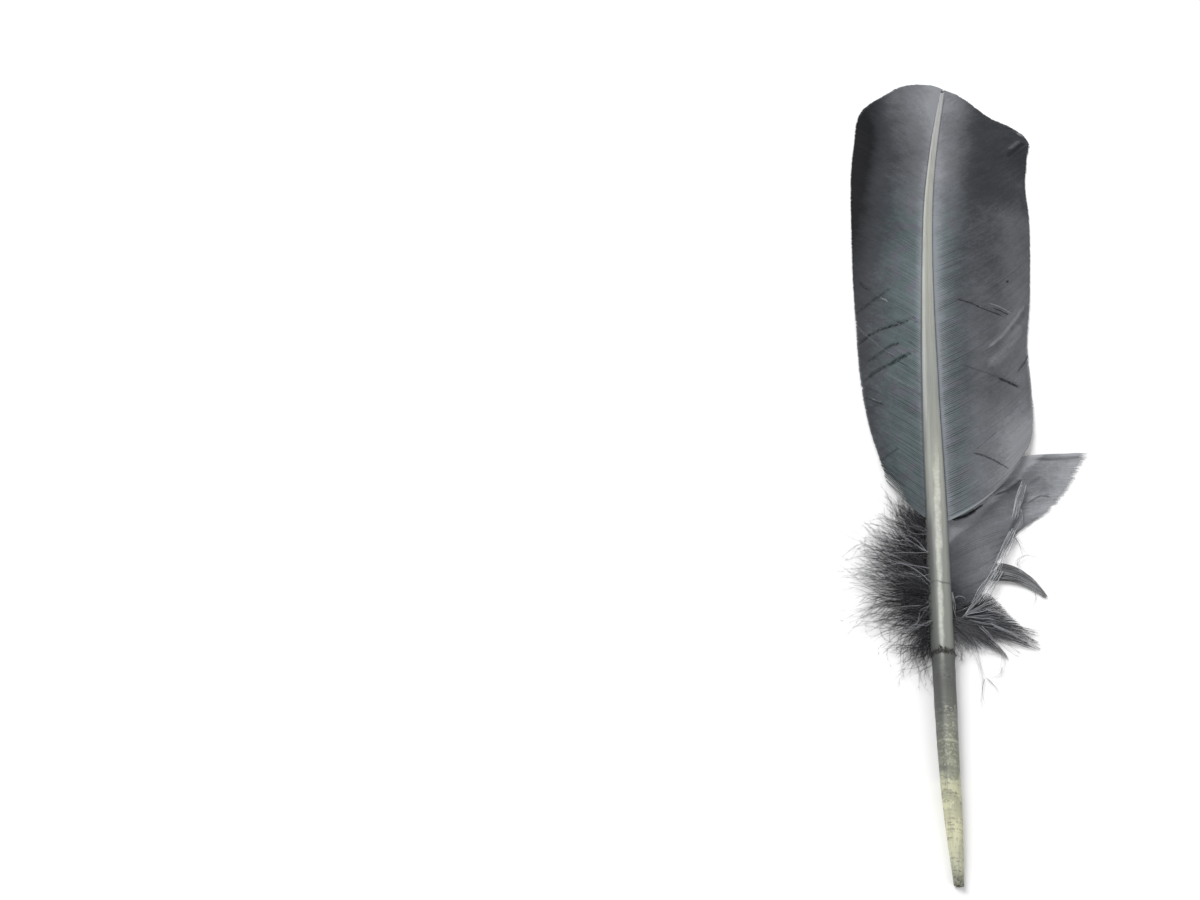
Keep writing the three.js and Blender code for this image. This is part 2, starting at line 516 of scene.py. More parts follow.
@dataclass(frozen=True)
class VaneFinish:
    """The dyed grey of a vane with painted shade: streaks along the barbs, a green and violet tint, and
    creases.
    """

    name: str
    tones: tuple[tuple[float, Colour], ...] = (
        (0.0, (12, 13, 16)),
        (0.4, (56, 58, 62)),
        (0.8, (104, 106, 110)),
        (1.0, (132, 134, 138)),
    )
    # shadow is painted shade in the dark creases, pale is a painted highlight on the pale ones
    shadow: Colour = (17, 22, 23)
    pale: Colour = (158, 160, 164)
    green: tuple[float, float, float, float] = (0.78, 1.0, 0.95, 1.0)
    violet: tuple[float, float, float, float] = (0.97, 0.97, 1.05, 1.0)
    green_weight: float = 0.9
    green_reach: float = 0.62
    rim_weight: float = 0.0
    streak_weight: float = 0.2
    comb_from: float = 0.46
    mottle: float = 0.35
    creases: tuple[Crease, ...] = ()
    barb_rows: float = 300.0
    roughness: float = 0.62

    def material(self) -> bpy.types.Material:
        """Makes the finish's material.

        Returns:
            The new material.
        """
        graph = Graph(self.name)
        grain = VaneGrain(graph, self.barb_rows)
        colour = graph.ramp(self._shade(grain) * 0.8, self.tones)
        dark, pale = self._marks(grain)
        # painted shade in the dark creases and painted highlights on the pale ones
        layers = ((dark, self.shadow), (pale, self.pale))
        barbules = graph.noise(graph.vector(grain.rows * 3.0, grain.out * 260.0, 0.0), 1.0, 1.0)
        return graph.surface(
            {
                "Base Color": graph.layered(self._tinted(grain, colour), layers),
                "Roughness": self.roughness + (grain.fine - 0.5) * 0.3 + dark * 0.2,
                "Specular IOR Level": 0.14,
                "Normal": graph.bump(grain.fine * 0.5 + barbules * 0.5 - dark * 1.5, 0.1, 0.35),
            }
        )

    def _shade(self, grain: VaneGrain) -> Link:
        """How light the vane is at a place: its grain, painted shade between parted barbs and by the shaft,
        and its edges.

        Args:
            grain: What the finish reads.

        Returns:
            The lightness.
        """
        y = grain.y
        near = grain.aside.eased(0.6, 0.14) * grain.out.eased(0.03, 0.07) * y.eased(85.0, 45.0)
        near = near * (0.5 + grain.patches)
        # painted shade: dark lines between the parted barbs near the shaft
        parted = grain.chance.eased(self.comb_from, self.comb_from + 0.08)
        comb = parted * grain.web.eased(0.3, 0.55) * near
        uneven = (grain.fine - 0.5) * self.streak_weight + (grain.locks - 0.5) * 0.3
        uneven = uneven + (grain.clouds - 0.5) * 0.34 + (grain.patches - 0.5) * 0.12
        uneven = uneven + (grain.suede - 0.5) * 0.28
        # painted shade: each barb darkens towards the edge that slips under the next barb
        ridge = 0.02 - grain.web.eased(0.35, 0.75) * (0.03 + near * 0.25) - near * y.eased(40.0, -5.0) * 0.1
        margin = most(y.eased(118.0, 128.0), y.eased(45.0, 25.0)) * grain.out.eased(0.965, 0.985)
        rim = grain.along.eased(0.004, 0.001) * self.rim_weight + margin * 0.25
        halo = grain.strip * (0.2 - y.eased(60.0, 90.0) * 0.1)
        # painted shade: a dark seam along the shaft where the barbs meet it
        seam_shade = grain.seam.eased(0.4, 0.05) * y.eased(141.0, 136.0) * 0.28
        return self._lightness(y, grain.aside) + uneven + ridge + rim + halo - comb * 0.32 - seam_shade

    def _tinted(self, grain: VaneGrain, colour: Link) -> Link:
        """Tints the grey with a green and a violet sheen.

        Args:
            grain: What the finish reads.
            colour: The grey.

        Returns:
            The tinted grey.
        """
        reach = grain.aside.eased(self.green_reach, self.green_reach * 0.5)
        sheen = reach * grain.y.eased(-60.0, -30.0) * grain.y.eased(100.0, 62.0) * self.green_weight
        green = sheen * grain.patches.eased(0.33, 0.52) * (1.0 - grain.strip * 0.6)
        violet = sheen * grain.patches.eased(0.5, 0.34) + grain.strip * 0.3
        violet = violet + grain.locks.eased(0.5, 0.7) * 0.4
        colour = grain.graph.mix(green, colour, self.green, "MULTIPLY")
        return grain.graph.mix(violet, colour, self.violet, "MULTIPLY")

    def _marks(self, grain: VaneGrain) -> tuple[Link, Link]:
        """How far a place lies in a crease. The creases waver, and the barbs break them up.

        Args:
            grain: What the finish reads.

        Returns:
            The masks of the painted shade in the dark creases and of the painted highlights on the pale ones.
        """
        graph = grain.graph
        waver = (graph.noise(graph.vector(grain.x, grain.y, 2.0), 0.3, 2.0) - 0.5) * 0.8
        waver = waver + (grain.suede - 0.5) * 0.7
        spot = graph.vector(grain.x + waver, grain.y + waver * 0.8, 0.0)
        hatch = graph.noise(graph.vector(grain.rows * 1.5, grain.out * 50.0, 1.0), 1.0, 3.0, 0.6)
        broken = 1.0 - hatch.eased(0.58, 0.4) * self.mottle
        masks: dict[Mark, list[Link]] = {mark: [] for mark in Mark}
        for crease in self.creases:
            masks[crease.mark].append(crease.mask(spot))
        return most(*masks[Mark.PAINTED_SHADE]) * broken, most(*masks[Mark.PAINTED_HIGHLIGHT]) * broken

    def _lightness(self, y: Link, aside: Link) -> Link:
        """How light the vane is, apart from its grain, with painted light along the right vane's lower edge.

        Args:
            y: The place along the feather.
            aside: The distance from the shaft, in the vane's aside_unit.

        Returns:
            The lightness.
        """
        foot = y.eased(-60.0, -72.0) * 0.3
        # painted light: the panel is lightened along the right vane's lower edge, where that vane's shadow
        # falls on it
        shaded = (y - aside * 29.25 + 49.1).eased(-9.0, -5.0) * 0.35
        outer = aside.eased(1.2, 1.8) * y.eased(-60.0, -30.0) * 0.3
        outer = outer + aside.eased(0.95, 1.3) * y.eased(-26.0, -31.0) * 0.14
        return 0.85 + aside.eased(0.2, 0.6) * 0.09 + shaded + outer - foot


class LeftVaneFinish(VaneFinish):
    """The left vane, with painted shade that darkens it steadily to its margin, most of all in the upper
    half.
    """

    def _lightness(self, y: Link, aside: Link) -> Link:
        """How light the vane is, apart from its grain, with painted shade towards its drooping margin.

        Args:
            y: The place along the feather.
            aside: The distance from the shaft, in the vane's aside_unit.

        Returns:
            The lightness.
        """
        # painted shade: darker towards the margin, where the vane droops away from the light, most of all in
        # its upper half
        margin = aside.eased(0.7, 1.0) * y.eased(55.0, 90.0) * 0.26
        ends = y.eased(115.0, 135.0) * 0.22 - y.eased(-15.0, -45.0) * 0.15
        middle = y.eased(40.0, 70.0) * y.eased(120.0, 108.0) * 0.1
        pale = aside.eased(0.5, 0.85) * y.eased(62.0, 45.0) * y.eased(-15.0, 5.0) * 0.07
        return 1.17 - aside - margin - middle + ends + pale


class RightVaneFinish(VaneFinish):
    """The right vane, with painted shade that makes it darkest halfway out in its upper half, and pale by its
    foot.
    """

    def _lightness(self, y: Link, aside: Link) -> Link:
        """How light the vane is, apart from its grain, with painted shade where its upper half curls down.

        Args:
            y: The place along the feather.
            aside: The distance from the shaft, in the vane's aside_unit.

        Returns:
            The lightness.
        """
        # painted shade: darkest halfway out in the upper half, where the vane curls down away from the light
        depth = 0.13 + y.eased(-30.0, 10.0) * 0.22 + y.eased(20.0, 65.0) * 0.17 + y.eased(75.0, 92.0) * 0.21
        fall = (aside * (1.0 - y.eased(45.0, 90.0) * 0.28)).eased(0.05, 0.5)
        rise = aside.eased(0.8, 1.25) * y.eased(112.0, 95.0) * 0.2
        ends = y.eased(122.0, 140.0) * 0.02 + aside.eased(0.6, 1.0) * y.eased(5.0, -15.0) * 0.28
        return 1.08 - fall * depth + rise + ends


class ShaftGrain:
    """What the shaft's finish reads: the place along it and round it, and the noises there."""

    def __init__(self, graph: Graph) -> None:
        """Reads the mesh's layer and adds the noises.

        Args:
            graph: The material's nodes.
        """
        self.x, self.y, self.z = graph.place()
        self.around, self.side, self.quill = graph.attribute(BARB_DATA)
        self.uneven = graph.noise(graph.vector(self.x, self.y * 0.6, self.z), 0.35, 3.0)
        self.rough = graph.noise(graph.vector(self.x, self.y, self.z), 1.3, 4.0, 0.7)
        self.streaks = graph.noise(graph.vector(self.x * 2.4, self.y * 0.04, self.z * 1.2), 1.0, 4.0, 0.65)
        self.bands = graph.noise(graph.vector(self.x * 0.08, self.y * 1.1, self.z * 0.08), 1.0, 3.0, 0.7)
        self.films = graph.noise(graph.vector(self.x * 0.12, self.y * 0.24, self.z * 0.12), 1.0, 2.0)


@dataclass(frozen=True)
class ShaftFinish:
    """Horn: a pale rachis with fine lengthwise streaks, grey and then cream and mottled along the quill, with
    a painted highlight and painted shade.
    """

    BAND_Y = -111.4

    name: str = "shaft_horn"
    stops: tuple[tuple[float, Colour], ...] = (
        (-147.0, (128, 129, 112)),
        (-143.0, (176, 177, 154)),
        (-134.0, (203, 202, 170)),
        (-124.0, (188, 188, 159)),
        (-120.4, (180, 181, 155)),
        (-118.6, (160, 162, 143)),
        (-116.8, (124, 126, 112)),
        (-111.6, (122, 124, 110)),
        (-106.0, (120, 123, 114)),
        (-96.0, (100, 102, 99)),
        (-87.5, (100, 102, 100)),
        (-84.0, (128, 131, 126)),
        (-70.0, (130, 133, 128)),
        (-50.0, (143, 145, 141)),
        (-28.0, (162, 165, 157)),
        (0.0, (152, 155, 153)),
        (45.0, (171, 174, 167)),
        (85.0, (170, 172, 166)),
        (110.0, (173, 174, 172)),
        (145.0, (152, 153, 154)),
    )
    stain: Colour = (58, 59, 58)
    film: Colour = (84, 86, 82)
    # groove is the colour of the streaks, and painted shade in the rachis groove
    groove: Colour = (118, 117, 106)
    # edge is painted shade on the shaft's sides, gleam a painted highlight
    edge: Colour = (62, 64, 64)
    ring: Colour = (40, 40, 38)
    gleam: Colour = (216, 218, 207)
    fleck: Colour = (184, 186, 166)

    def material(self) -> bpy.types.Material:
        """Makes the finish's material.

        Returns:
            The new material.
        """
        graph = Graph(self.name)
        grain = ShaftGrain(graph)
        first, last = self.stops[0][0], self.stops[-1][0]
        share = (grain.y - first) * (1.0 / (last - first)) + (grain.uneven - 0.5) * 0.03
        stops = [((place - first) / (last - first), colour) for place, colour in self.stops]
        filmed = (grain.films + (grain.rough - 0.5) * 0.45).eased(0.47, 0.54) * grain.quill
        filmed = filmed * grain.y.eased(-142.0, -118.0)
        line = abs(grain.y - Shaft.THIN_RING_Y + (grain.uneven - 0.5) * 1.6).eased(0.4, 0.1) * 0.5
        collar = abs(grain.y - Shaft.COLLAR_Y + (grain.rough - 0.5) * 2.4 - grain.x * 0.12 - 1.0)
        collar = collar.eased(0.95, 0.3) * 0.9
        layers = (
            *self._streak_layers(grain),
            (filmed * 0.5, self.film),
            *self._quill_layers(grain),
            *self._light_layers(grain),
            (line, self.stain),
            (collar, self.ring),
        )
        return graph.surface(
            {
                "Base Color": graph.layered(graph.ramp(share, stops), layers),
                "Roughness": 0.5 + (grain.rough - 0.5) * 0.25 + filmed * 0.1 + collar * 0.2,
                "Specular IOR Level": 0.3,
                "Coat Weight": (1.0 - collar) * 0.06,
                "Coat Roughness": 0.25,
                "Normal": graph.bump(grain.streaks * 0.6 + grain.bands * 0.2 + grain.rough * 0.2, 0.1, 0.35),
            }
        )

    def _streak_layers(self, grain: ShaftGrain) -> list[tuple[Link, Colour]]:
        """The lengthwise streaks, and painted shade in the groove along the rachis.

        Args:
            grain: What the finish reads.

        Returns:
            The mask and the tint of each layer.
        """
        # painted shade in the groove along the top of the rachis
        groove = grain.around.eased(0.42, 0.15) * grain.y.eased(-75.0, -20.0) * grain.y.eased(138.0, 105.0)
        return [
            (grain.streaks.eased(0.48, 0.7) * 0.4, self.groove),
            (groove * (0.25 + grain.streaks * 0.3), self.groove),
        ]

    def _quill_layers(self, grain: ShaftGrain) -> list[tuple[Link, Colour]]:
        """The quill's stains and flecks, its pale band and its dirty foot.

        Args:
            grain: What the finish reads.

        Returns:
            The mask and the tint of each layer.
        """
        stained = grain.bands.eased(0.54, 0.62) * grain.rough.eased(0.45, 0.58) * grain.quill
        flecked = grain.y.eased(-98.0, -104.0) * grain.y.eased(-122.0, -118.0)
        flecks = grain.rough.eased(0.5, 0.57) * flecked * grain.bands.eased(0.38, 0.52)
        band = abs(grain.y - self.BAND_Y + (grain.rough - 0.5) * 1.6).eased(0.5, 0.15)
        foot = grain.rough.eased(0.5, 0.6) * grain.y.eased(-139.0, -146.0)
        return [
            (stained * 0.45, self.stain),
            (most(flecks * 0.55, band * 0.6), self.fleck),
            (foot * 0.7, self.stain),
        ]

    def _light_layers(self, grain: ShaftGrain) -> list[tuple[Link, Colour]]:
        """The painted highlight along the thick part of the shaft, and the painted shade on its left side and
        flanks.

        Args:
            grain: What the finish reads.

        Returns:
            The mask and the tint of each layer.
        """
        y = grain.y
        ridge = grain.side - (y + 40.0) * 0.006 + (grain.uneven - 0.5) * 0.4
        # painted highlight: a pale gleam just left of the middle of the thick shaft
        gleam = abs(ridge).eased(0.28, 0.05) * y.eased(-94.0, -78.0) * y.eased(-14.0, -36.0)
        # painted shade: a painted shadow on the left side, and darker flanks where the barbs meet the shaft
        dim = grain.side.eased(-0.2, -0.62) * y.eased(0.0, -20.0) * y.eased(-128.0, -104.0)
        deeper = y.eased(-40.0, -50.0) * y.eased(-72.0, -62.0) * 0.15
        dim = dim * (0.45 + y.eased(-40.0, -52.0) * 0.22 + deeper)
        shade = grain.around.eased(0.2, 0.75) * y.eased(0.0, -50.0) * y.eased(-125.0, -100.0) * 0.45
        flank_shade = grain.around.eased(0.54, 0.7) * (1.0 - grain.quill) * 0.75
        return [
            (gleam * (0.4 + grain.rough.eased(0.4, 0.6) * 0.2), self.gleam),
            (most(shade, flank_shade, dim), self.edge),
        ]


@dataclass(frozen=True)
class FluffFinish:
    """Down and loose strands: matt grey, paler on some strands and towards the tips."""

    name: str
    dark: Colour
    light: Colour
    roughness: float = 0.8

    def material(self) -> bpy.types.Material:
        """Makes the finish's material.

        Returns:
            The new material.
        """
        graph = Graph(self.name)
        along, out, chance = graph.attribute(BARB_DATA)
        clouds = graph.noise(graph.vector(along * 9.0, out * 3.0, chance * 5.0), 1.0, 2.0)
        pale = chance * 0.7 + out.eased(0.3, 1.0) * 0.35 + (clouds - 0.5) * 0.7
        return graph.surface(
            {
                "Base Color": graph.mix(pale, linear(self.dark), linear(self.light)),
                "Roughness": self.roughness + (clouds - 0.5) * 0.2,
                "Specular IOR Level": 0.2,
                "Sheen Weight": 0.15,
                "Sheen Roughness": 0.5,
            }
        )


@dataclass(frozen=True)
class FloorFinish:
    """A plain pale studio floor."""

    name: str = "pale_floor"
    colour: Colour = (246, 246, 246)

    def material(self) -> bpy.types.Material:
        """Makes the finish's material.

        Returns:
            The new material.
        """
        graph = Graph(self.name)
        x, y, _ = graph.place()
        grain = graph.noise(graph.vector(x, y, 0.0), 0.02, 2.0)
        roughness = 0.8 + (grain - 0.5) * 0.05
        sockets = {"Base Color": linear(self.colour), "Roughness": roughness, "Specular IOR Level": 0.2}
        return graph.surface(sockets)


def mesh_object(
    name: str, places: Array, faces: Sequence[Array], map_places: Sequence[Array], smoothed: bool = True
) -> bpy.types.Object:
    """Makes a mesh object in the scene from arrays.

    Args:
        name: The object's name.
        places: Its vertices, in millimetres, one row each.
        faces: Arrays of faces, each array with its own number of corners.
        map_places: For each array of faces, the corners' places on the bake's map.
        smoothed: Whether it is shaded smooth.

    Returns:
        The new object.
    """
    mesh = bpy.data.meshes.new(name)
    mesh.vertices.add(len(places))
    mesh.vertices.foreach_set("co", (places * MM).astype(np.float32).ravel())
    counts = np.concatenate([np.full(len(f), f.shape[1], np.int32) for f in faces])
    corners = np.concatenate([f.ravel() for f in faces]).astype(np.int32)
    mesh.loops.add(len(corners))
    mesh.loops.foreach_set("vertex_index", corners)
    mesh.polygons.add(len(counts))
    mesh.polygons.foreach_set("loop_start", np.concatenate([[0], np.cumsum(counts)[:-1]]).astype(np.int32))
    mesh.polygons.foreach_set("use_smooth", np.full(len(counts), smoothed))
    layer = mesh.uv_layers.new(name=BAKE_MAP)
    spots = np.concatenate([m.reshape(-1, 2) for m in map_places]).astype(np.float32)
    layer.data.foreach_set("uv", spots.ravel())
    mesh.update(calc_edges=True)
    mesh.validate()
    made = bpy.data.objects.new(name, mesh)
    bpy.context.scene.collection.objects.link(made)
    return made


def write_layer(piece: bpy.types.Object, layer: str, values: Array) -> None:
    """Stores a vector for each of a piece's vertices."""
    attribute = piece.data.attributes.new(layer, "FLOAT_VECTOR", "POINT")
    attribute.data.foreach_set("vector", values.astype(np.float32).ravel())


def tube_mesh(name: str, points: Array, clockwise: bool, smoothed: bool = True) -> bpy.types.Object:
    """Makes a mesh object of closed tubes.

    Args:
        name: The object's name.
        points: The tubes' points in millimetres, by tube, step along it and place round it.
        clockwise: Whether the points run clockwise round a tube, seen from its last step.
        smoothed: Whether it is shaded smooth.

    Returns:
        The new object.
    """
    count, steps, sides, _ = points.shape
    index = np.arange(count * steps * sides).reshape(count, steps, sides)
    turn = np.roll(index, -1, axis=2)
    walls = np.stack([index[:, :-1], turn[:, :-1], turn[:, 1:], index[:, 1:]], -1).reshape(-1, 4)
    caps = np.concatenate([index[:, 0, ::-1], index[:, -1]])
    row = np.arange(count)[:, None, None]
    side = np.arange(sides)
    low = (row + side / sides) / count
    high = (row + (side + 1) / sides) / count
    step = np.arange(steps)[None, :, None] / (steps - 1)
    near = step[:, :-1]
    far = step[:, 1:]
    shape = (count, steps - 1, sides)
    corners = [stacked(shape, *pair) for pair in ((near, low), (near, high), (far, high), (far, low))]
    wall_map = np.stack(corners, -2).reshape(-1, 4, 2)
    cap_map = np.concatenate([stacked((count, sides), end, low[:, 0]) for end in (0.0, 1.0)])
    way = -1 if clockwise else 1
    faces = [walls[:, ::way], caps[:, ::way]]
    return mesh_object(name, points.reshape(-1, 3), faces, [wall_map[:, ::way], cap_map[:, ::way]], smoothed)


@dataclass
class Strands:
    """Closed thin strips along many centre lines, made as one mesh.

    The arrays have a row for each strand and a column for each step along it. The section's points go round
    the strip, as distances along across and up.
    """

    lines: Array
    across: Array
    up: Array
    section: Array
    layers: dict[str, Array]
    smoothed: bool = True

    def build(self, name: str) -> bpy.types.Object:
        """Makes the mesh.

        Args:
            name: The object's name.

        Returns:
            The object, with the strands' layers as attributes.
        """
        sideways = self.across[:, :, None] * self.section[..., 0:1]
        upward = self.up[:, :, None] * self.section[..., 1:2]
        points = self.lines[:, :, None] + sideways + upward
        points[..., 2] = np.maximum(points[..., 2], FLOOR_GAP)
        tangent = np.gradient(self.lines, axis=1)
        clockwise = np.sum(np.cross(self.across, self.up) * tangent) < 0
        made = tube_mesh(name, points, clockwise, self.smoothed)
        for layer, values in self.layers.items():
            write_layer(made, layer, np.broadcast_to(values, points.shape))
        return made


def round_section(radius: Array, sides: int) -> Array:
    """A round section for strands.

    Args:
        radius: The radius at each step of each strand.
        sides: Number of sides.

    Returns:
        The section's points at each step.
    """
    turn = np.arange(sides) * math.tau / sides
    return radius[..., None, None] * np.stack([np.cos(turn), np.sin(turn)], -1)


def wire(lines: Array, radius: Array, data: Array, sides: int = 3) -> Strands:
    """Round strands along centre lines.

    Args:
        lines: The centre lines.
        radius: The radius at each step.
        data: The values that the finish reads at each step.
        sides: Number of sides.

    Returns:
        The strands, with axes that suit lines near the floor.
    """
    tangent = unit(np.gradient(lines, axis=1))
    helper = np.where(np.abs(tangent[..., 2:]) < 0.8, UP, (1.0, 0.0, 0.0))
    across = unit(np.cross(helper, tangent))
    section = round_section(radius, sides)
    return Strands(lines, across, np.cross(tangent, across), section, {BARB_DATA: data[:, :, None]})


def dress(piece: bpy.types.Object, material: bpy.types.Material, slot: Slot, *nodes: str) -> None:
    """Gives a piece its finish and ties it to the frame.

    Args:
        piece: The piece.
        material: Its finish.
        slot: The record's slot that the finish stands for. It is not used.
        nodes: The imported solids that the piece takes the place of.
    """
    piece.data.materials.append(material)
    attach(piece, BODY)
    if nodes:
        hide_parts(*nodes)
    LOG.info("%s: %d faces", piece.name, len(piece.data.polygons))


@dataclass
class Shaft:
    """The hollow quill and the rachis, grown as one, with the ragged ring where the down begins."""

    THIN_RING_Y = -66.0
    COLLAR_Y = -86.5

    end_y: float = -147.2
    tip_y: float = 141.9
    line: Course = Course(
        (
            (-147.2, -4.7),
            (-120.0, -6.8),
            (-85.0, -8.3),
            (-48.0, -10.0),
            (0.0, -12.2),
            (50.0, -12.5),
            (82.0, -11.4),
            (111.0, -8.8),
            (141.9, -4.9),
        )
    )
    half_width: Course = Course(
        (
            (-147.2, 1.25),
            (-135.0, 2.1),
            (-116.0, 2.7),
            (-92.0, 3.05),
            (-50.0, 3.2),
            (0.0, 2.75),
            (50.0, 1.9),
            (80.0, 1.65),
            (110.0, 1.32),
            (130.0, 1.12),
            (141.9, 0.85),
        )
    )
    arch_start: float = -92.0
    arch_end: float = 150.0
    arch_height: float = 5.0
    rings: int = 420
    around: int = 56
    pit_radius: float = 0.75
    pit_depth: float = 3.0
    groove_depth: float = 0.09
    under_groove: float = 0.22
    groove_share: float = 0.22
    swelling: float = 0.012
    thin_ring_bulge: float = 0.02
    collar_bulge: float = 0.05
    sheath_step: float = 0.035
    ragged_end: float = 0.35
    flakes: int = 34
    seed: int = 3

    def lift(self, y: Array) -> Array:
        """Height of the shaft's underside above the floor."""
        share = np.clip((y - self.arch_start) / (self.arch_end - self.arch_start), 0.0, 1.0)
        return self.arch_height * np.sin(math.pi * share) ** 2

    def middle(self, y: Array) -> Array:
        """The shaft's middle, as one (x, y, z) for each y."""
        return np.stack([self.line.at(y), y, self.lift(y) + self.half_width.at(y)], axis=-1)

    def root_z(self, y: Array, share: float) -> Array:
        """Height at which barbs leave the shaft, by the share of its half-width."""
        return self.lift(y) + share * self.half_width.at(y)

    def build(self) -> None:
        """Makes the shaft and the torn sheath round it."""
        self._build_horn()
        self._build_sheath()

    def _ring(self, y: Array, turn: Array, rng: np.random.Generator) -> Array:
        """The shaft's skin.

        Args:
            y: Places along the shaft.
            turn: Angles round it, from the right over the top.
            rng: Where its unevenness comes from.

        Returns:
            A point for each place and angle.
        """
        half = self.half_width.at(y)[:, None]
        rachis = smooth(y, -95.0, -35.0)[:, None]
        power = 1.0 - 0.3 * rachis
        side = np.sign(np.cos(turn)) * np.abs(np.cos(turn)) ** power
        rise = np.sign(np.sin(turn)) * np.abs(np.sin(turn)) ** power
        groove = np.exp(-((side / self.groove_share) ** 2))
        top_groove = self.groove_depth * smooth(y, -35.0, 15.0)[:, None] * groove * (rise > 0)
        under = self.under_groove * smooth(y, -40.0, 10.0)[:, None] * groove * (rise < 0)
        ridges = 0.0
        for count in (5, 9, 14, 23):
            ridges = ridges + rng.uniform(0.002, 0.006) * np.cos(count * turn + rng.uniform(0, PHASE_SPAN))
        share = (y - self.end_y) / (self.tip_y - self.end_y)
        swell = self.swelling * (wander(rng, share, 0.012) + wander(rng, share, 0.04))[:, None]
        thin = self.thin_ring_bulge * np.exp(-(((y - self.THIN_RING_Y) / 0.35) ** 2))[:, None]
        past = y[:, None] - self.COLLAR_Y + 0.9 * wander(rng, turn / math.tau, 0.09)
        collar = self.collar_bulge * np.exp(-((past / 0.7) ** 2))
        step = self.sheath_step * smooth(past, -0.4, 0.6) * smooth(y, -55.0, -80.0)[:, None]
        scale = 1.0 + ridges + swell + thin + collar + step
        offset = self.middle(y)[:, None]
        height = rise * scale - top_groove + under
        skin = np.stack([half * side * scale, np.zeros_like(height), half * height], -1) + offset
        skin[..., 2] = np.maximum(skin[..., 2], FLOOR_GAP)
        return skin

    def _build_horn(self) -> None:
        """Makes the quill and the rachis, with the pit in the quill's end."""
        rng = np.random.default_rng(self.seed)
        turn = np.arange(self.around) * math.tau / self.around
        y = self.end_y + (self.tip_y - self.end_y) * np.linspace(0.0, 1.0, self.rings) ** 1.06
        skin = self._ring(y, turn[None], rng)
        ragged = self.ragged_end * wander(rng, turn / math.tau, 0.07)
        skin[0, :, 1] += ragged
        pit = []
        for depth, share in ((self.pit_depth, 0.7), (0.4, 1.0), (-0.05, 1.06)):
            ring = self.middle(y[:1]) + spokes(turn) * self.pit_radius * share
            ring[:, 1] += depth + ragged * (depth < 1.0)
            pit.append(ring)
        rows = np.concatenate([np.stack(pit), skin])
        piece = tube_mesh("quill_and_rachis", rows[None], clockwise=True)
        off_top = np.abs(np.angle(np.exp(1j * (turn - math.pi / 2)))) / (math.pi / 2)
        quill = smooth(rows[:, :, 1], self.COLLAR_Y + 2.0, self.COLLAR_Y - 4.0)
        write_layer(piece, BARB_DATA, stacked(quill.shape, off_top, np.cos(turn), quill))
        dress(piece, ShaftFinish().material(), Slot.SHAFT, "shaft")

    def _build_sheath(self) -> None:
        """Makes the torn flakes of sheath at the ring below the down."""
        rng = np.random.default_rng(self.seed + 1)
        turn = rng.uniform(-0.15, 1.15, self.flakes) * math.pi
        start = self.COLLAR_Y + rng.normal(0.0, 0.5, self.flakes)
        length = rng.uniform(0.4, 1.5, self.flakes)
        steps = np.linspace(0.0, 1.0, 5)
        y = start[:, None] + (steps * length[:, None]) * rng.choice([-0.6, 1.0], self.flakes)[:, None]
        curl = rng.uniform(0.0, 0.5, self.flakes)[:, None] * steps**2
        lean = turn[:, None] + rng.normal(0.0, 0.12, self.flakes)[:, None] * steps
        radius = self.half_width.at(y) * 1.06 + 0.03 + curl
        up = spokes(lean)
        lines = self.middle(y) + up * radius[..., None]
        across = unit(np.cross(np.gradient(lines, axis=1), up))
        width = rng.uniform(0.15, 0.5, self.flakes)[:, None] * (1.0 - 0.75 * steps)
        corners = np.array([[1.0, 0.0], [0.0, 0.06], [-1.0, 0.0], [0.0, -0.06]])
        section = corners * np.stack([width, np.ones_like(width)], -1)[:, :, None]
        data = stacked(lean.shape, lean, steps, rng.random(lean.shape))
        piece = Strands(lines, across, up, section, {BARB_DATA: data[:, :, None]}).build("torn_sheath")
        dress(piece, FluffFinish("sheath_flakes", (26, 26, 25), (92, 91, 84)).material(), Slot.SHAFT)


@dataclass(frozen=True)
class Tear:
    """A split that opens along the barbs from the margin."""

    along: float
    gap: float
    start_out: float
    reach: float = 0.02
    lift: float = 0.25


@dataclass(frozen=True)
class Fold:
    """A ridge, or with a height below 0 a furrow, pressed across the barbs."""

    points: Line
    height: float
    width: float

    def lift(self, plan: Array) -> Array:
        """Height that the fold adds.

        Args:
            plan: Places (x, y) on the vane.

        Returns:
            One height for each place.
        """
        gaps = []
        for start, end in zip(self.points, self.points[1:]):
            run = np.subtract(end, start)
            share = np.clip((plan - start) @ run / (run @ run), 0.0, 1.0)
            gaps.append(np.linalg.norm(plan - start - share[..., None] * run, axis=-1))
        return self.height * np.exp(-((np.min(gaps, axis=0) / self.width) ** 2))


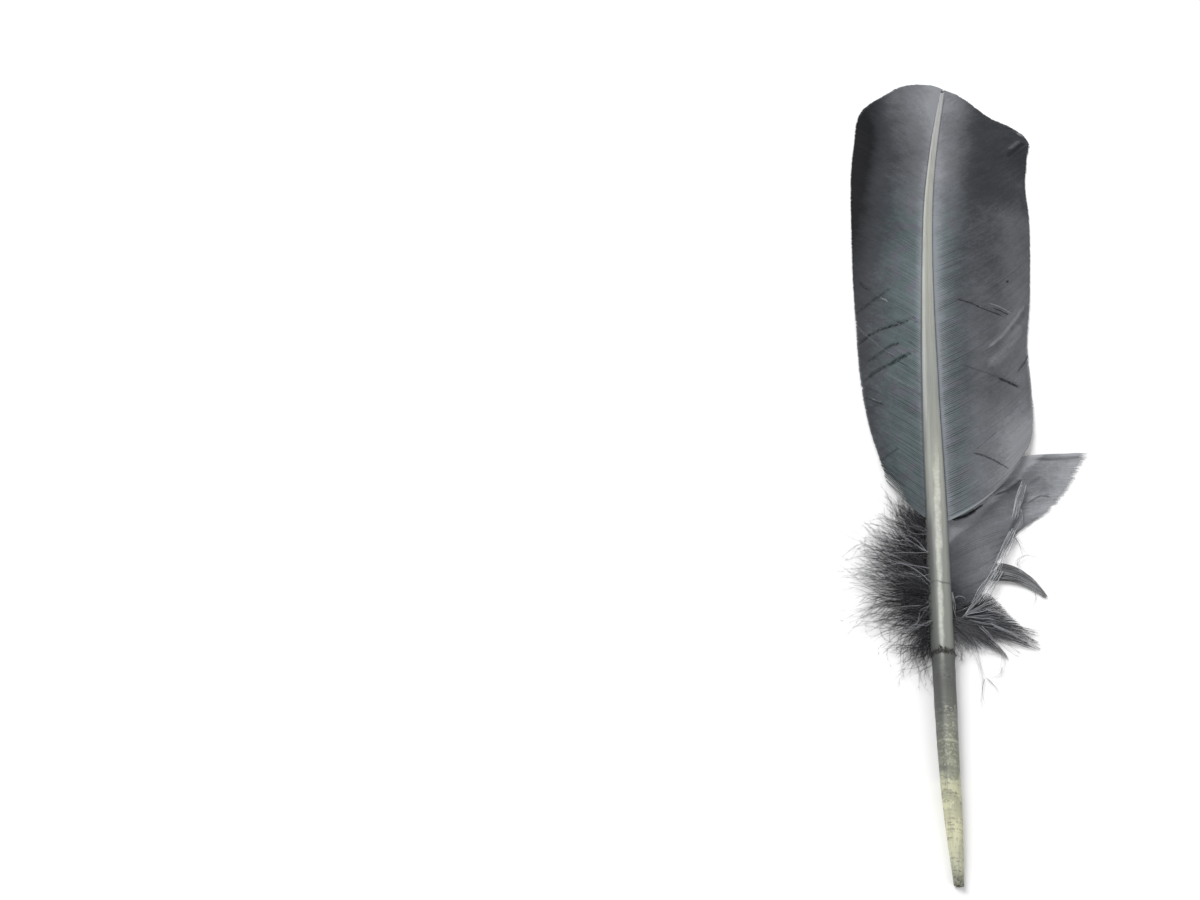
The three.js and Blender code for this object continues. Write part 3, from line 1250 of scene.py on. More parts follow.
@dataclass
class Vane:
    """One side's web of barbs, each a closed strip with a raised ramus and a web that laps over the next."""

    # The greatest value of out**4 * (1 - out)
    HUMP_PEAK = 0.082

    name: str
    node: str
    shaft: Shaft
    side: Side
    root: Pair
    margin: Outline
    finish: VaneFinish
    barbs: int
    frayed: float
    seed: int
    tears: tuple[Tear, ...] = ()
    folds: tuple[Fold, ...] = ()
    hang: Hang = Hang.CROWNED
    steps: int = 40
    locks: int = 46
    angles: Pair = (57.0, 28.0)
    turn_from: float = 0.7
    bends: Pair = (0.5, 0.5)
    root_share: float = 0.7
    root_height: float = 1.35
    margin_lift: float = 0.0
    lifted_share: float = 0.12
    sweep: float = 0.0
    droop: float = 0.0
    aside_unit: float = 25.0
    ripple: float = 0.4
    serration: float = 0.2
    raggedness: float = 0.06
    fringe: float = 0.035
    fringe_width: float = 0.6
    ramus_height: float = 0.08
    lap: float = 1.3
    widest_web: float = 1.1
    rest_height: float = 0.2

    def build(self) -> None:
        """Makes the vane and dresses it."""
        rng = np.random.default_rng(self.seed)
        along = np.linspace(0.0, 1.0, self.barbs)
        out = np.linspace(0.0, 1.0, self.steps)
        lines = self._lines(rng, along, out)
        self._strips(rng, lines, along, out)

    def _plan(self, rng: np.random.Generator, along: Array, out: Array) -> Array:
        """The barbs seen from above.

        Args:
            rng: Where their unevenness comes from.
            along: Each barb's place along the vane.
            out: The steps from the shaft to the margin.

        Returns:
            An (x, y) for each barb and step.
        """
        root_y = self.root[0] + (self.root[1] - self.root[0]) * along
        side = self.side.value
        root_x = self.shaft.line.at(root_y) + side * self.root_share * self.shaft.half_width.at(root_y)
        root = np.stack([root_x, root_y], -1)
        tip = self.margin.at(along + self.sweep * np.sin(math.pi * along))
        reach = np.linalg.norm(tip - root, axis=1, keepdims=True)
        phase = (along * self.locks + 0.35 * wander(rng, along, 0.05)) % 1.0
        saw = self.serration * (0.5 - phase) * wander(rng, along, 1.0 / self.locks)
        loose = smooth(along, self.frayed, 0.0)
        jitter = rng.normal(0.0, self.raggedness, self.barbs) + rng.normal(0.0, 1.0, self.barbs) * loose
        calm = 1.0 - smooth(along, 0.93, 1.0)
        tip = tip + unit(tip - root) * ((saw + jitter) * calm)[:, None]
        edge = np.gradient(tip, axis=0)
        bunch = (0.5 - phase) * 0.3 + rng.normal(0.0, 0.12, self.barbs)
        bunch = bunch + rng.normal(0.0, 0.8, self.barbs) * loose
        tip = tip + edge * bunch[:, None]
        turned = smooth(along, self.turn_from, 1.0)
        angle = self.angles[0] + (self.angles[1] - self.angles[0]) * turned
        angle = np.radians(angle + 2.0 * wander(rng, along, 0.03) + rng.normal(0.0, 0.5, self.barbs))
        share = (self.bends[0] + (self.bends[1] - self.bends[0]) * turned)[:, None]
        bend = root + share * reach * np.stack([side * np.sin(angle), np.cos(angle)], -1)
        plan = bent(out[None, :, None], root[:, None], bend[:, None], tip[:, None])
        hump = out**4 * (1.0 - out) / self.HUMP_PEAK
        plan[..., 1] -= self.droop * turned[:, None] * hump
        return plan

    def _lines(self, rng: np.random.Generator, along: Array, out: Array) -> Array:
        """The barbs' centre lines, with the vane's fall to the floor, ripples and tears.

        Args:
            rng: Where their unevenness comes from.
            along: Each barb's place along the vane.
            out: The steps from the shaft to the margin.

        Returns:
            An (x, y, z) for each barb and step.
        """
        plan = self._plan(rng, along, out)
        root_y = self.root[0] + (self.root[1] - self.root[0]) * along
        root_z = self.shaft.root_z(root_y, self.root_height)[:, None]
        end_z = (self.margin_lift * smooth(along, self.lifted_share, 0.0))[:, None]
        if self.hang is Hang.CROWNED:
            power = (2.2 + 0.8 * smooth(along, 0.55, 0.9))[:, None]
            fall = 1.0 - out[None] ** power
        else:
            fall = (1.0 - out[None]) ** 3
        height = end_z + (root_z - end_z) * fall
        swing = 0.65 * wander(rng, along, 0.045) + 0.35 * wander(rng, along, 0.016)
        swell = np.sin(math.pi * out)[None] * 0.35 * wander(rng, along, 0.07)[:, None]
        waved = (0.5 + 0.5 * swing[:, None]) * smooth(out, 0.25, 1.0)[None]
        height = height + self.ripple * (waved + swell)
        edge = unit(np.gradient(plan, axis=0))
        for tear in self.tears:
            away = along - tear.along
            pull = np.sign(away) * np.exp(-np.abs(away) / tear.reach)
            opened = smooth(out, tear.start_out, 1.0)
            plan = plan + edge * (0.5 * tear.gap * pull[:, None] * opened[None])[..., None]
            height = height + tear.lift * np.maximum(pull, 0.0)[:, None] * opened[None]
        for fold in self.folds:
            height = height + fold.lift(plan)
        height = height + rng.normal(0.0, 0.012, self.barbs)[:, None]
        return np.concatenate([plan, np.maximum(height, 0.0)[..., None] + self.rest_height], -1)

    def _strips(self, rng: np.random.Generator, lines: Array, along: Array, out: Array) -> None:
        """Makes the barbs' strips along their lines.

        Args:
            rng: Where each barb's shade comes from.
            lines: The centre lines.
            along: Each barb's place along the vane.
            out: The steps from the shaft to the margin.
        """
        tangent = unit(np.gradient(lines, axis=1))
        ahead = np.concatenate([np.diff(lines, axis=0), lines[-1:] - lines[-2:-1]])
        sideways = ahead - tangent * np.sum(ahead * tangent, -1, keepdims=True)
        web = np.minimum(np.linalg.norm(sideways, axis=-1), self.widest_web)
        across = unit(sideways)
        up = np.cross(tangent, across)
        up = up * np.sign(np.sum(up[..., 2]))
        taper = 1.0 - (1.0 - self.fringe_width) * smooth(out, 1.0 - self.fringe, 1.0)[None]
        parted = 1.0 - 0.8 * smooth(along, self.frayed, 0.0)[:, None] * smooth(out, 0.3, 0.65)[None]
        ramus = self.ramus_height * (1.0 - 0.6 * out)[None] * taper
        web = np.maximum(web, 0.06) * taper * parted
        corners = ((0.0, ramus), (-0.3 * web, 0.0), (0.0, -ramus), (self.lap * web, 0.35 * ramus))
        section = np.stack([stacked(web.shape, *corner) for corner in corners], -2)
        edges = np.array([0.0, 0.5, 0.0, 1.0])
        barb = stacked(section.shape[:3], along[:, None, None], out[None, :, None], edges)
        aside = np.abs(lines[..., 0] - self.shaft.line.at(lines[..., 1])) / self.aside_unit
        chance = rng.random(self.barbs)[:, None]
        seam = aside * self.aside_unit - self.shaft.half_width.at(lines[..., 1])
        spot = stacked(aside.shape, aside, chance, seam)[:, :, None]
        layers = {BARB_DATA: barb, SPOT_DATA: spot}
        piece = Strands(lines, across, up, section, layers, smoothed=False).build(self.name)
        dress(piece, self.finish.material(), Slot.VANE, self.node)


@dataclass(frozen=True)
class Tuft:
    """One lock of fluff: where it grows from, how it bends and where its strands gather."""

    root_y: float
    bend: Point
    tip: Point
    tip_z: float
    barbs: int
    spread: float


@dataclass
class Plumes:
    """Fluffy barbs on one side of the shaft, each a thin ramus with fine barbules."""

    LOWEST_STEM = 0.15
    LOWEST_HAIR = 0.06

    name: str
    shaft: Shaft
    side: Side
    tufts: tuple[Tuft, ...]
    finish: FluffFinish
    ramus_radius: float
    barbule_radius: float
    barbule_length: Pair
    barbules: int
    wave: float
    tousle: float
    seed: int
    curl: float = 0.0
    nodes: tuple[str, ...] = ()
    steps: int = 14
    barbule_steps: int = 4
    root_share: float = 0.92

    def build(self) -> None:
        """Makes the tufts and dresses them."""
        rng = np.random.default_rng(self.seed)
        rami = np.concatenate([self._rami(rng, tuft) for tuft in self.tufts])
        out = np.linspace(0.0, 1.0, self.steps)
        chance = rng.random(len(rami)) ** 1.6
        thick = self.ramus_radius * (1.0 - 0.8 * out)[None] * rng.uniform(0.7, 1.2, (len(rami), 1))
        stem = wire(rami, thick, self._data(rami, out, chance))
        hairs, shade = self._barbules(rng, rami, chance)
        fine = np.linspace(0.0, 1.0, self.barbule_steps)
        thin = np.broadcast_to(self.barbule_radius * (1.0 - 0.75 * fine)[None], hairs.shape[:2])
        fluff = wire(hairs, thin, self._data(hairs, fine, shade))
        piece = stem.build(self.name)
        added = fluff.build(self.name + "_barbules")
        self._join(piece, added)
        dress(piece, self.finish.material(), Slot.DOWN, *self.nodes)

    @staticmethod
    def _join(piece: bpy.types.Object, added: bpy.types.Object) -> None:
        """Joins the second object's mesh to the first."""
        with bpy.context.temp_override(active_object=piece, selected_editable_objects=[piece, added]):
            bpy.ops.object.join()

    @staticmethod
    def _data(lines: Array, out: Array, chance: Array) -> Array:
        """What the finish reads along strands: their order, the place out from the root and a shade."""
        order = np.linspace(0.0, 1.0, len(lines))[:, None]
        return stacked(lines.shape[:2], order, out, chance[:, None])

    def _roots(self, rng: np.random.Generator, tuft: Tuft) -> Array:
        """Where the stems of one lock begin.

        Args:
            rng: Where their unevenness comes from.
            tuft: The lock.

        Returns:
            A place for each stem.
        """
        root_y = tuft.root_y + rng.uniform(-1.4, 1.4, tuft.barbs)
        root = self.shaft.middle(root_y)
        turn = rng.uniform(-0.5, 0.8, tuft.barbs)
        radius = self.root_share * self.shaft.half_width.at(root_y)
        root[:, 0] += self.side.value * radius * np.cos(turn)
        root[:, 2] += radius * np.sin(turn)
        return root

    def _rami(self, rng: np.random.Generator, tuft: Tuft) -> Array:
        """The stems of one lock.

        Args:
            rng: Where their unevenness comes from.
            tuft: The lock.

        Returns:
            A line for each stem.
        """
        count = tuft.barbs
        root = self._roots(rng, tuft)
        bend = np.array([*tuft.bend, 0.5 * (tuft.tip_z + float(root[0, 2]))])
        tip = np.array([*tuft.tip, tuft.tip_z])
        loose = rng.normal(0.0, self.tousle, (2, count, 1, 3)) * [1.0, 1.0, 0.3]
        bend = bend + loose[0]
        tip = tip + 0.6 * loose[1]
        reach = 1.0 - 0.5 * rng.random(count) ** 1.5
        t = np.linspace(0.0, 1.0, self.steps)[None, :, None] * reach[:, None, None]
        lines = bent(t, root[:, None], bend, tip)
        stray = np.where(rng.random(count) < 0.18, 2.2, 1.0)[:, None, None]
        offset = rng.normal(0.0, 1.0, (count, 1, 3)) * [tuft.spread, tuft.spread, 0.5] * stray
        fullness = np.sin(math.pi * t**0.85) + 0.35 * t * (stray - 0.8)
        lines = lines + offset * fullness * 0.75
        aside = unit(np.cross(unit(np.gradient(lines, axis=1)), UP))
        turn = rng.normal(0.0, self.curl) + rng.normal(0.0, 0.6 * self.curl, (count, 1, 1))
        lines = lines + aside * turn * t**2
        turns = rng.uniform(5.0, 12.0, (count, 1, 1))
        wave = np.sin(t * turns + rng.uniform(0.0, PHASE_SPAN, (count, 1, 1)))
        lines = lines + aside * wave * t * rng.uniform(0.1, 1.0, (count, 1, 1)) * self.wave * stray
        lines[..., 2] = np.maximum(lines[..., 2], self.LOWEST_STEM)
        return lines

    def _barbules(self, rng: np.random.Generator, rami: Array, chance: Array) -> tuple[Array, Array]:
        """The fine side hairs of the stems.

        Args:
            rng: Where their unevenness comes from.
            rami: The stems' lines.
            chance: Each stem's shade.

        Returns:
            A line and a shade for each hair.
        """
        count, steps = rami.shape[:2]
        spot = np.sort(rng.uniform(0.06, 1.0, (count, self.barbules)), axis=1) * (steps - 1.001)
        low = spot.astype(int)
        share = (spot - low)[..., None]
        row = np.arange(count)[:, None]
        start = rami[row, low] * (1 - share) + rami[row, low + 1] * share
        way = unit(rami[row, low + 1] - rami[row, low])
        each = (count, self.barbules, 1)
        aside = unit(np.cross(way, UP)) * rng.choice([-1.0, 1.0], each)
        tilt = rng.normal(0.0, 0.45, each) * UP
        outward = unit(aside * rng.uniform(0.5, 1.0, each) + tilt)
        taper = 1.0 - 0.55 * (spot / (steps - 1))[..., None]
        size = rng.uniform(*self.barbule_length, each) * taper
        t = np.linspace(0.0, 1.0, self.barbule_steps)[None, None, :, None]
        lean = rng.uniform(0.9, 2.2, (*each, 1))
        drift = outward[:, :, None] * (0.8 * t - 0.35 * t**2) + way[:, :, None] * lean * t**1.3
        lines = start[:, :, None] + size[:, :, None] * drift
        lines[..., 2] = np.maximum(lines[..., 2], self.LOWEST_HAIR)
        shade = np.clip(chance[:, None] + rng.normal(0.0, 0.15, (count, self.barbules)), 0.0, 1.0)
        return lines.reshape(-1, self.barbule_steps, 3), shade.ravel()


@dataclass(frozen=True)
class Sheet:
    """A flat lock of combed strands, from one line on the floor, bent towards another, to a third."""

    start: Line
    bend: Line
    end: Line
    heights: tuple[float, float, float]
    strands: int

    def shares(self) -> Array:
        """The strands' places across the lock, from 0 to 1."""
        return (np.arange(self.strands) + 0.5) / self.strands


@dataclass
class Locks:
    """Loose locks of combed strands, made as one piece."""

    name: str
    sheets: tuple[Sheet, ...]
    finish: FluffFinish
    radius: float
    uneven: float
    wave: float
    shortest: float
    seed: int
    slot: Slot = Slot.DOWN
    nodes: tuple[str, ...] = ()
    steps: int = 18

    def build(self) -> None:
        """Makes the locks and dresses them."""
        rng = np.random.default_rng(self.seed)
        lines = np.concatenate([self._lines(rng, sheet) for sheet in self.sheets])
        count = len(lines)
        out = np.linspace(0.0, 1.0, self.steps)
        radius = self.radius * (1.0 - 0.75 * out**1.5)[None] * rng.uniform(0.7, 1.2, (count, 1))
        order = np.concatenate([sheet.shares() for sheet in self.sheets])[:, None]
        data = stacked(lines.shape[:2], order, out, rng.random((count, 1)) ** 1.5)
        piece = wire(lines, radius, data, sides=5).build(self.name)
        dress(piece, self.finish.material(), self.slot, *self.nodes)

    def _lines(self, rng: np.random.Generator, sheet: Sheet) -> Array:
        """The strands of one lock.

        Args:
            rng: Where their unevenness comes from.
            sheet: The lock.

        Returns:
            A line for each strand.
        """
        count = sheet.strands
        parts = []
        for points, z in zip((sheet.start, sheet.bend, sheet.end), sheet.heights):
            plan = Outline(points).at(sheet.shares()) + rng.normal(0.0, self.uneven, (count, 2))
            parts.append(np.column_stack([plan, z + np.abs(rng.normal(0.0, 0.15, count))])[:, None])
        reach = 1.0 - (1.0 - self.shortest) * rng.random((count, 1, 1)) ** 2
        begin = 0.3 * (1.0 - self.shortest) * rng.random((count, 1, 1))
        t = begin + np.linspace(0.0, 1.0, self.steps)[None, :, None] * (reach - begin)
        lines = bent(t, *parts)
        aside = unit(np.cross(np.gradient(lines, axis=1), UP))
        turns = rng.uniform(4.0, 11.0, (count, 1, 1))
        phase = rng.uniform(0.0, PHASE_SPAN, (count, 1, 1))
        return lines + aside * np.sin(t * turns + phase) * t * self.wave


@dataclass
class Studio:
    """The pale floor, the soft light and the camera at the photograph's viewing angle."""

    camera_place: tuple[float, float, float] = (-84.6, -225.5, 313.5)
    camera_elevation: float = 58.0
    camera_heading: float = 7.8
    lens: float = 36.0
    sensor: float = 36.0
    floor_half: float = 2400.0
    floor_cells: int = 12
    key_place: tuple[float, float, float] = (-620.0, 360.0, 900.0)
    key_size: float = 620.0
    key_power: float = 11.0
    fill_place: tuple[float, float, float] = (700.0, -500.0, 800.0)
    fill_size: float = 900.0
    fill_power: float = 3.0
    sky: float = 0.5

    def build(self) -> None:
        """Makes the floor, the lights and the camera."""
        self._floor()
        self._light("key_light", self.key_place, self.key_size, self.key_power)
        self._light("fill_light", self.fill_place, self.fill_size, self.fill_power)
        self._sky()
        self._camera()

    def _floor(self) -> None:
        """Makes the floor, which is no part of the feather."""
        ticks = np.linspace(-self.floor_half, self.floor_half, self.floor_cells + 1)
        x, y = np.meshgrid(ticks, ticks)
        places = np.stack([x.ravel(), y.ravel(), np.zeros(x.size)], -1)
        index = np.arange(x.size).reshape(x.shape)
        cells = np.stack([index[:-1, :-1], index[:-1, 1:], index[1:, 1:], index[1:, :-1]], -1).reshape(-1, 4)
        spots = places[cells][..., :2] / (2.0 * self.floor_half) + 0.5
        floor = mesh_object("floor", places, [cells], [spots])
        floor.data.materials.append(FloorFinish().material())

    @staticmethod
    def _light(name: str, place: tuple[float, float, float], size: float, power: float) -> None:
        """Makes a square soft light that faces the feather.

        Args:
            name: Its name.
            place: Where it stands.
            size: Its side.
            power: Its power, in watts.
        """
        lamp = bpy.data.lights.new(name, "AREA")
        lamp.energy = power
        lamp.size = size * MM
        made = bpy.data.objects.new(name, lamp)
        made.location = [c * MM for c in place]
        made.rotation_euler = (-made.location).to_track_quat("-Z", "Y").to_euler()
        bpy.context.scene.collection.objects.link(made)

    def _sky(self) -> None:
        """Lights the scene evenly from all round."""
        world = bpy.data.worlds.new("white_sky")
        world.use_nodes = True
        background = world.node_tree.nodes["Background"]
        background.inputs["Color"].default_value = (1.0, 1.0, 1.0, 1.0)
        background.inputs["Strength"].default_value = self.sky
        bpy.context.scene.world = world

    def _camera(self) -> None:
        """Makes the camera and the plain view transform."""
        lens = bpy.data.cameras.new("camera")
        lens.lens = self.lens
        lens.sensor_width = self.sensor
        lens.clip_start = 0.01
        made = bpy.data.objects.new("camera", lens)
        made.location = [c * MM for c in self.camera_place]
        tilt = math.radians(90.0 - self.camera_elevation)
        made.rotation_euler = (tilt, 0.0, math.radians(self.camera_heading))
        bpy.context.scene.collection.objects.link(made)
        bpy.context.scene.camera = made
        bpy.context.scene.view_settings.view_transform = "Standard"


LEFT_FINISH = LeftVaneFinish(
    "left_vane_barbs",
    green_reach=0.8,
    mottle=0.8,
    # dark creases are painted shade, pale ones painted highlights
    creases=(
        Crease(((-36.1, 31.0), (-32.4, 33.4), (-28.7, 36.1), (-22.9, 40.4)), 0.7, 0.6),
        Crease(((-34.0, 19.1), (-30.6, 21.3), (-27.3, 22.8), (-22.0, 24.0), (-17.6, 26.6)), 0.6, 0.9),
        Crease(((-17.7, 24.5), (-15.2, 26.0)), 0.25, 0.6),
        Crease(((-31.4, 11.1), (-27.7, 12.9), (-23.9, 15.8), (-20.6, 16.9)), 0.6, 0.8),
        Crease(((-31.8, 3.9), (-29.0, 6.4), (-23.6, 9.0), (-17.6, 13.0)), 0.75, 0.8),
        Crease(((-34.6, 47.5), (-32.3, 41.7), (-30.0, 39.3)), 0.3, 0.75),
        Crease(((-27.0, 47.9), (-22.9, 42.6)), 0.2, 0.5),
        Crease(((-28.6, 17.8), (-25.8, 14.7), (-22.8, 10.2), (-17.5, 6.5)), 0.22, 0.7),
        Crease(((-20.3, 18.2), (-15.5, 14.7)), 0.2, 0.7),
        Crease(((-35.4, 2.7), (-32.8, 0.4), (-29.1, -3.2), (-24.2, -7.7)), 0.22, 0.8),
        Crease(((-27.5, -25.4), (-24.1, -23.8), (-20.2, -21.5)), 0.4, 0.6),
        Crease(((-28.2, 37.2), (-24.4, 32.8)), 0.18, 0.7, Mark.PAINTED_HIGHLIGHT),
        Crease(((-26.2, 14.4), (-22.6, 11.0)), 0.16, 0.5, Mark.PAINTED_HIGHLIGHT),
        Crease(((-34.7, 27.9), (-31.1, 21.5), (-25.3, 13.4), (-22.5, 10.9)), 0.14, 0.16, Mark.PAINTED_HIGHLIGHT),
        Crease(((-27.1, 7.1), (-21.3, 1.8), (-15.4, -1.6)), 0.35, 0.14, Mark.PAINTED_HIGHLIGHT),
        Crease(((-31.0, -1.3), (-25.1, -5.9)), 0.14, 0.3, Mark.PAINTED_HIGHLIGHT),
    ),
)
RIGHT_FINISH = RightVaneFinish(
    "right_vane_barbs",
    green_weight=0.6,
    rim_weight=0.4,
    # dark creases are painted shade, pale ones painted highlights
    creases=(
        Crease(((-4.8, 37.0), (1.0, 36.3), (5.8, 34.6), (13.6, 33.4)), 0.36, 0.85),
        Crease(((8.0, 35.9), (11.4, 35.6), (15.0, 34.9)), 0.28, 0.9),
        Crease(((-3.8, 10.7), (1.8, 9.4), (9.8, 8.4)), 0.2, 0.5),
        Crease(((8.6, 8.6), (13.6, 8.2), (17.5, 7.9)), 0.46, 1.0),
        Crease(((0.1, -21.2), (4.5, -21.7), (8.5, -23.1), (12.6, -24.6)), 0.34, 0.75),
        Crease(((0.3, -21.7), (5.1, -16.1), (9.4, -10.9)), 0.14, 0.45),
        Crease(((-6.2, -20.7), (-3.0, -18.9), (-0.3, -16.4)), 0.16, 0.45),
        Crease(((13.6, 48.0), (15.1, 50.3)), 0.4, 1.0),
        Crease(((21.6, 24.1), (19.9, 19.5), (15.4, 11.3)), 0.25, 0.65),
        Crease(((21.4, 41.0), (17.4, 33.4), (13.6, 26.6)), 0.8, 0.3),
        # the crumpled upper corner: painted shade beside its folds, with painted highlights on their ridges
        # in the pale marks below
        Crease(((16.4, 108.6), (20.0, 113.6), (22.0, 117.0), (25.4, 120.6)), 0.8, 0.7),
        Crease(((16.6, 127.7), (22.7, 126.7)), 0.35, 0.8),
        Crease(((6.6, 37.5), (11.0, 37.2), (16.9, 35.9)), 0.18, 0.5, Mark.PAINTED_HIGHLIGHT),
        Crease(((21.0, 43.4), (17.0, 34.9), (11.2, 24.7), (5.4, 17.4)), 0.5, 0.34, Mark.PAINTED_HIGHLIGHT),
        Crease(((19.0, 34.1), (15.8, 26.2), (11.5, 18.4), (5.2, 10.0)), 1.5, 0.24, Mark.PAINTED_HIGHLIGHT),
        Crease(((17.6, 113.4), (20.4, 117.0), (23.4, 121.2)), 0.7, 0.2, Mark.PAINTED_HIGHLIGHT),
        Crease(((20.8, 124.9), (25.9, 124.1)), 0.8, 0.5, Mark.PAINTED_HIGHLIGHT),
    ),
)
PANEL_FINISH = VaneFinish(
    "torn_panel_barbs",
    tones=((0.0, (14, 15, 18)), (0.4, (58, 60, 64)), (0.8, (110, 112, 116)), (1.0, (152, 154, 158))),
    green_weight=0.0,
    streak_weight=0.12,
    comb_from=0.86,
    mottle=0.1,
    barb_rows=150.0,
    # dark creases are painted shade, pale ones painted highlights
    creases=(
        Crease(((6.8, -33.2), (12.4, -29.7), (15.1, -27.1), (16.8, -25.1)), 0.3, 0.7),
        Crease(((10.4, -31.2), (14.6, -28.0), (16.6, -25.4)), 0.8, 0.45),
        Crease(((17.4, -27.6), (24.1, -21.8)), 0.7, 0.3),
        Crease(((16.4, -34.5), (22.0, -30.1), (25.7, -30.3)), 0.3, 0.5),
        Crease(((21.0, -31.0), (26.0, -28.4)), 0.25, 0.35),
        Crease(((15.8, -35.6), (13.6, -41.0), (11.8, -46.6)), 0.6, 0.5),
        Crease(((17.7, -17.8), (31.0, -15.6), (37.0, -13.8)), 0.4, 0.4),
        # painted shadow: a black slit under the right vane's lower edge, in the gap between it and the panel
        Crease(((-5.6, -43.6), (-3.2, -42.4), (-0.9, -41.0), (1.2, -39.2), (2.6, -37.8)), 0.55, 1.0),
        Crease(((0.0, -40.2), (2.6, -37.8), (5.2, -35.2)), 0.28, 1.0),
        Crease(((17.0, -16.6), (30.0, -14.2)), 0.3, 0.3, Mark.PAINTED_HIGHLIGHT),
    ),
)
LEFT_MARGIN = Outline(
    (
        (-23.1, -32.0), (-29.3, -11.8), (-32.5, 6.6), (-34.1, 24.1), (-36.9, 68.0), (-37.2, 109.0),
        (-34.1, 130.4), (-26.6, 138.8), (-18.6, 145.5), (-14.4, 146.7), (-9.8, 147.0), (-7.0, 146.5),
        (-4.5, 145.5),
    )
)
RIGHT_MARGIN = Outline(
    (
        (17.2, -17.2), (19.3, -13.0), (21.2, -2.3), (21.6, 9.4), (21.1, 23.7), (23.2, 50.0), (24.5, 86.0),
        (24.0, 100.0), (25.2, 112.0), (25.8, 122.4), (21.4, 127.5), (13.4, 131.9), (7.1, 137.6),
        (3.9, 140.7), (0.0, 143.6), (-2.6, 144.8), (-4.4, 145.4),
    )
)
PANEL_MARGIN = Outline(
    (
        (2.2, -68.6), (7.1, -57.6), (14.3, -43.9), (24.6, -34.4), (32.3, -23.2), (37.2, -13.0),
    )
)
POINTED_LOCK = (
    Sheet(((8.8, -54.8), (6.0, -60.8)), ((16.6, -54.6), (15.2, -59.2)), ((21.9, -63.5), (21.8, -63.8)),
          (1.1, 1.6, 0.5), 120),
)
FOLDED_RAMI = (
    Sheet(((16.2, -26.6), (17.4, -27.6)), ((13.7, -33.0), (16.5, -33.6)), ((12.4, -39.6), (14.2, -40.2)),
          (2.4, 2.6, 2.0), 13),
    Sheet(((14.6, -35.6), (15.6, -36.2)), ((16.4, -39.0), (17.2, -39.8)), ((12.4, -44.8), (13.6, -44.8)),
          (2.0, 2.2, 1.8), 5),
    Sheet(((12.6, -42.8), (14.4, -43.4)), ((9.2, -50.4), (11.6, -51.4)), ((5.6, -58.2), (8.0, -59.0)),
          (1.8, 1.9, 1.6), 13),
    Sheet(((7.2, -56.4), (9.8, -57.4)), ((3.2, -63.0), (6.4, -64.0)), ((-0.2, -69.4), (2.6, -70.6)),
          (1.7, 2.3, 2.6), 15),
)
LOOSE_HAIRS = (
    Sheet(((13.7, -55.0), (14.1, -55.2)), ((13.3, -50.4), (13.8, -50.8)), ((20.6, -50.6), (20.8, -51.2)),
          (1.2, 1.2, 0.8), 5),
    Sheet(((18.2, -61.4), (18.4, -61.6)), ((19.8, -65.0), (20.1, -65.2)), ((16.9, -66.6), (17.1, -66.8)),
          (0.6, 0.6, 0.4), 3),
    Sheet(((12.4, -44.2), (13.6, -45.0)), ((14.2, -45.6), (14.8, -46.4)), ((15.6, -50.8), (17.2, -50.2)),
          (0.9, 0.9, 0.7), 6),
    Sheet(((-1.2, -79.4), (0.8, -80.2)), ((1.2, -87.4), (2.6, -86.4)), ((2.9, -91.4), (3.7, -90.8)),
          (1.6, 1.0, 0.8), 8),
    Sheet(((3.2, -90.6), (3.5, -90.8)), ((1.9, -95.2), (2.8, -94.8)), ((2.6, -100.4), (3.4, -99.2)),
          (0.8, 0.6, 0.4), 4),
    Sheet(((3.7, -90.8), (4.2, -91.1)), ((6.2, -91.0), (6.4, -92.4)), ((6.8, -95.6), (7.5, -94.8)),
          (0.8, 0.6, 0.5), 4),
    Sheet(((2.8, -82.0), (4.2, -82.4)), ((10.2, -80.4), (10.8, -82.2)), ((7.6, -88.8), (8.8, -88.2)),
          (1.6, 1.2, 0.8), 5),
    Sheet(((8.4, -86.8), (8.9, -87.4)), ((8.2, -90.6), (9.0, -89.6)), ((4.2, -90.2), (4.8, -91.0)),
          (0.8, 0.8, 0.8), 3),
)
LEFT_TUFTS = (
    Tuft(-47.0, (-15.5, -46.0), (-22.5, -36.5), 2.6, 14, 1.0),
    Tuft(-49.5, (-17.0, -47.5), (-25.5, -38.0), 1.8, 16, 1.2),
    Tuft(-52.5, (-18.0, -51.0), (-28.0, -41.5), 2.2, 18, 1.3),
    Tuft(-56.0, (-18.5, -53.5), (-30.0, -45.0), 1.2, 16, 1.4),
    Tuft(-59.5, (-20.0, -55.5), (-32.5, -49.5), 2.0, 18, 1.3),
    Tuft(-62.5, (-23.0, -57.0), (-34.0, -56.0), 2.4, 18, 1.4),
    Tuft(-65.5, (-22.0, -61.0), (-36.0, -64.0), 1.4, 18, 1.3),
    Tuft(-68.5, (-24.0, -65.0), (-36.0, -72.5), 2.6, 20, 1.3),
    Tuft(-71.5, (-21.0, -69.0), (-33.0, -79.0), 1.2, 20, 1.2),
    Tuft(-74.5, (-21.0, -74.0), (-29.0, -85.0), 2.2, 18, 1.2),
    Tuft(-77.5, (-17.0, -78.0), (-25.0, -90.0), 1.2, 16, 1.2),
    Tuft(-80.5, (-15.0, -83.0), (-20.0, -95.0), 1.8, 9, 1.1),
    Tuft(-83.5, (-12.5, -89.0), (-14.0, -101.0), 1.2, 5, 1.0),
)
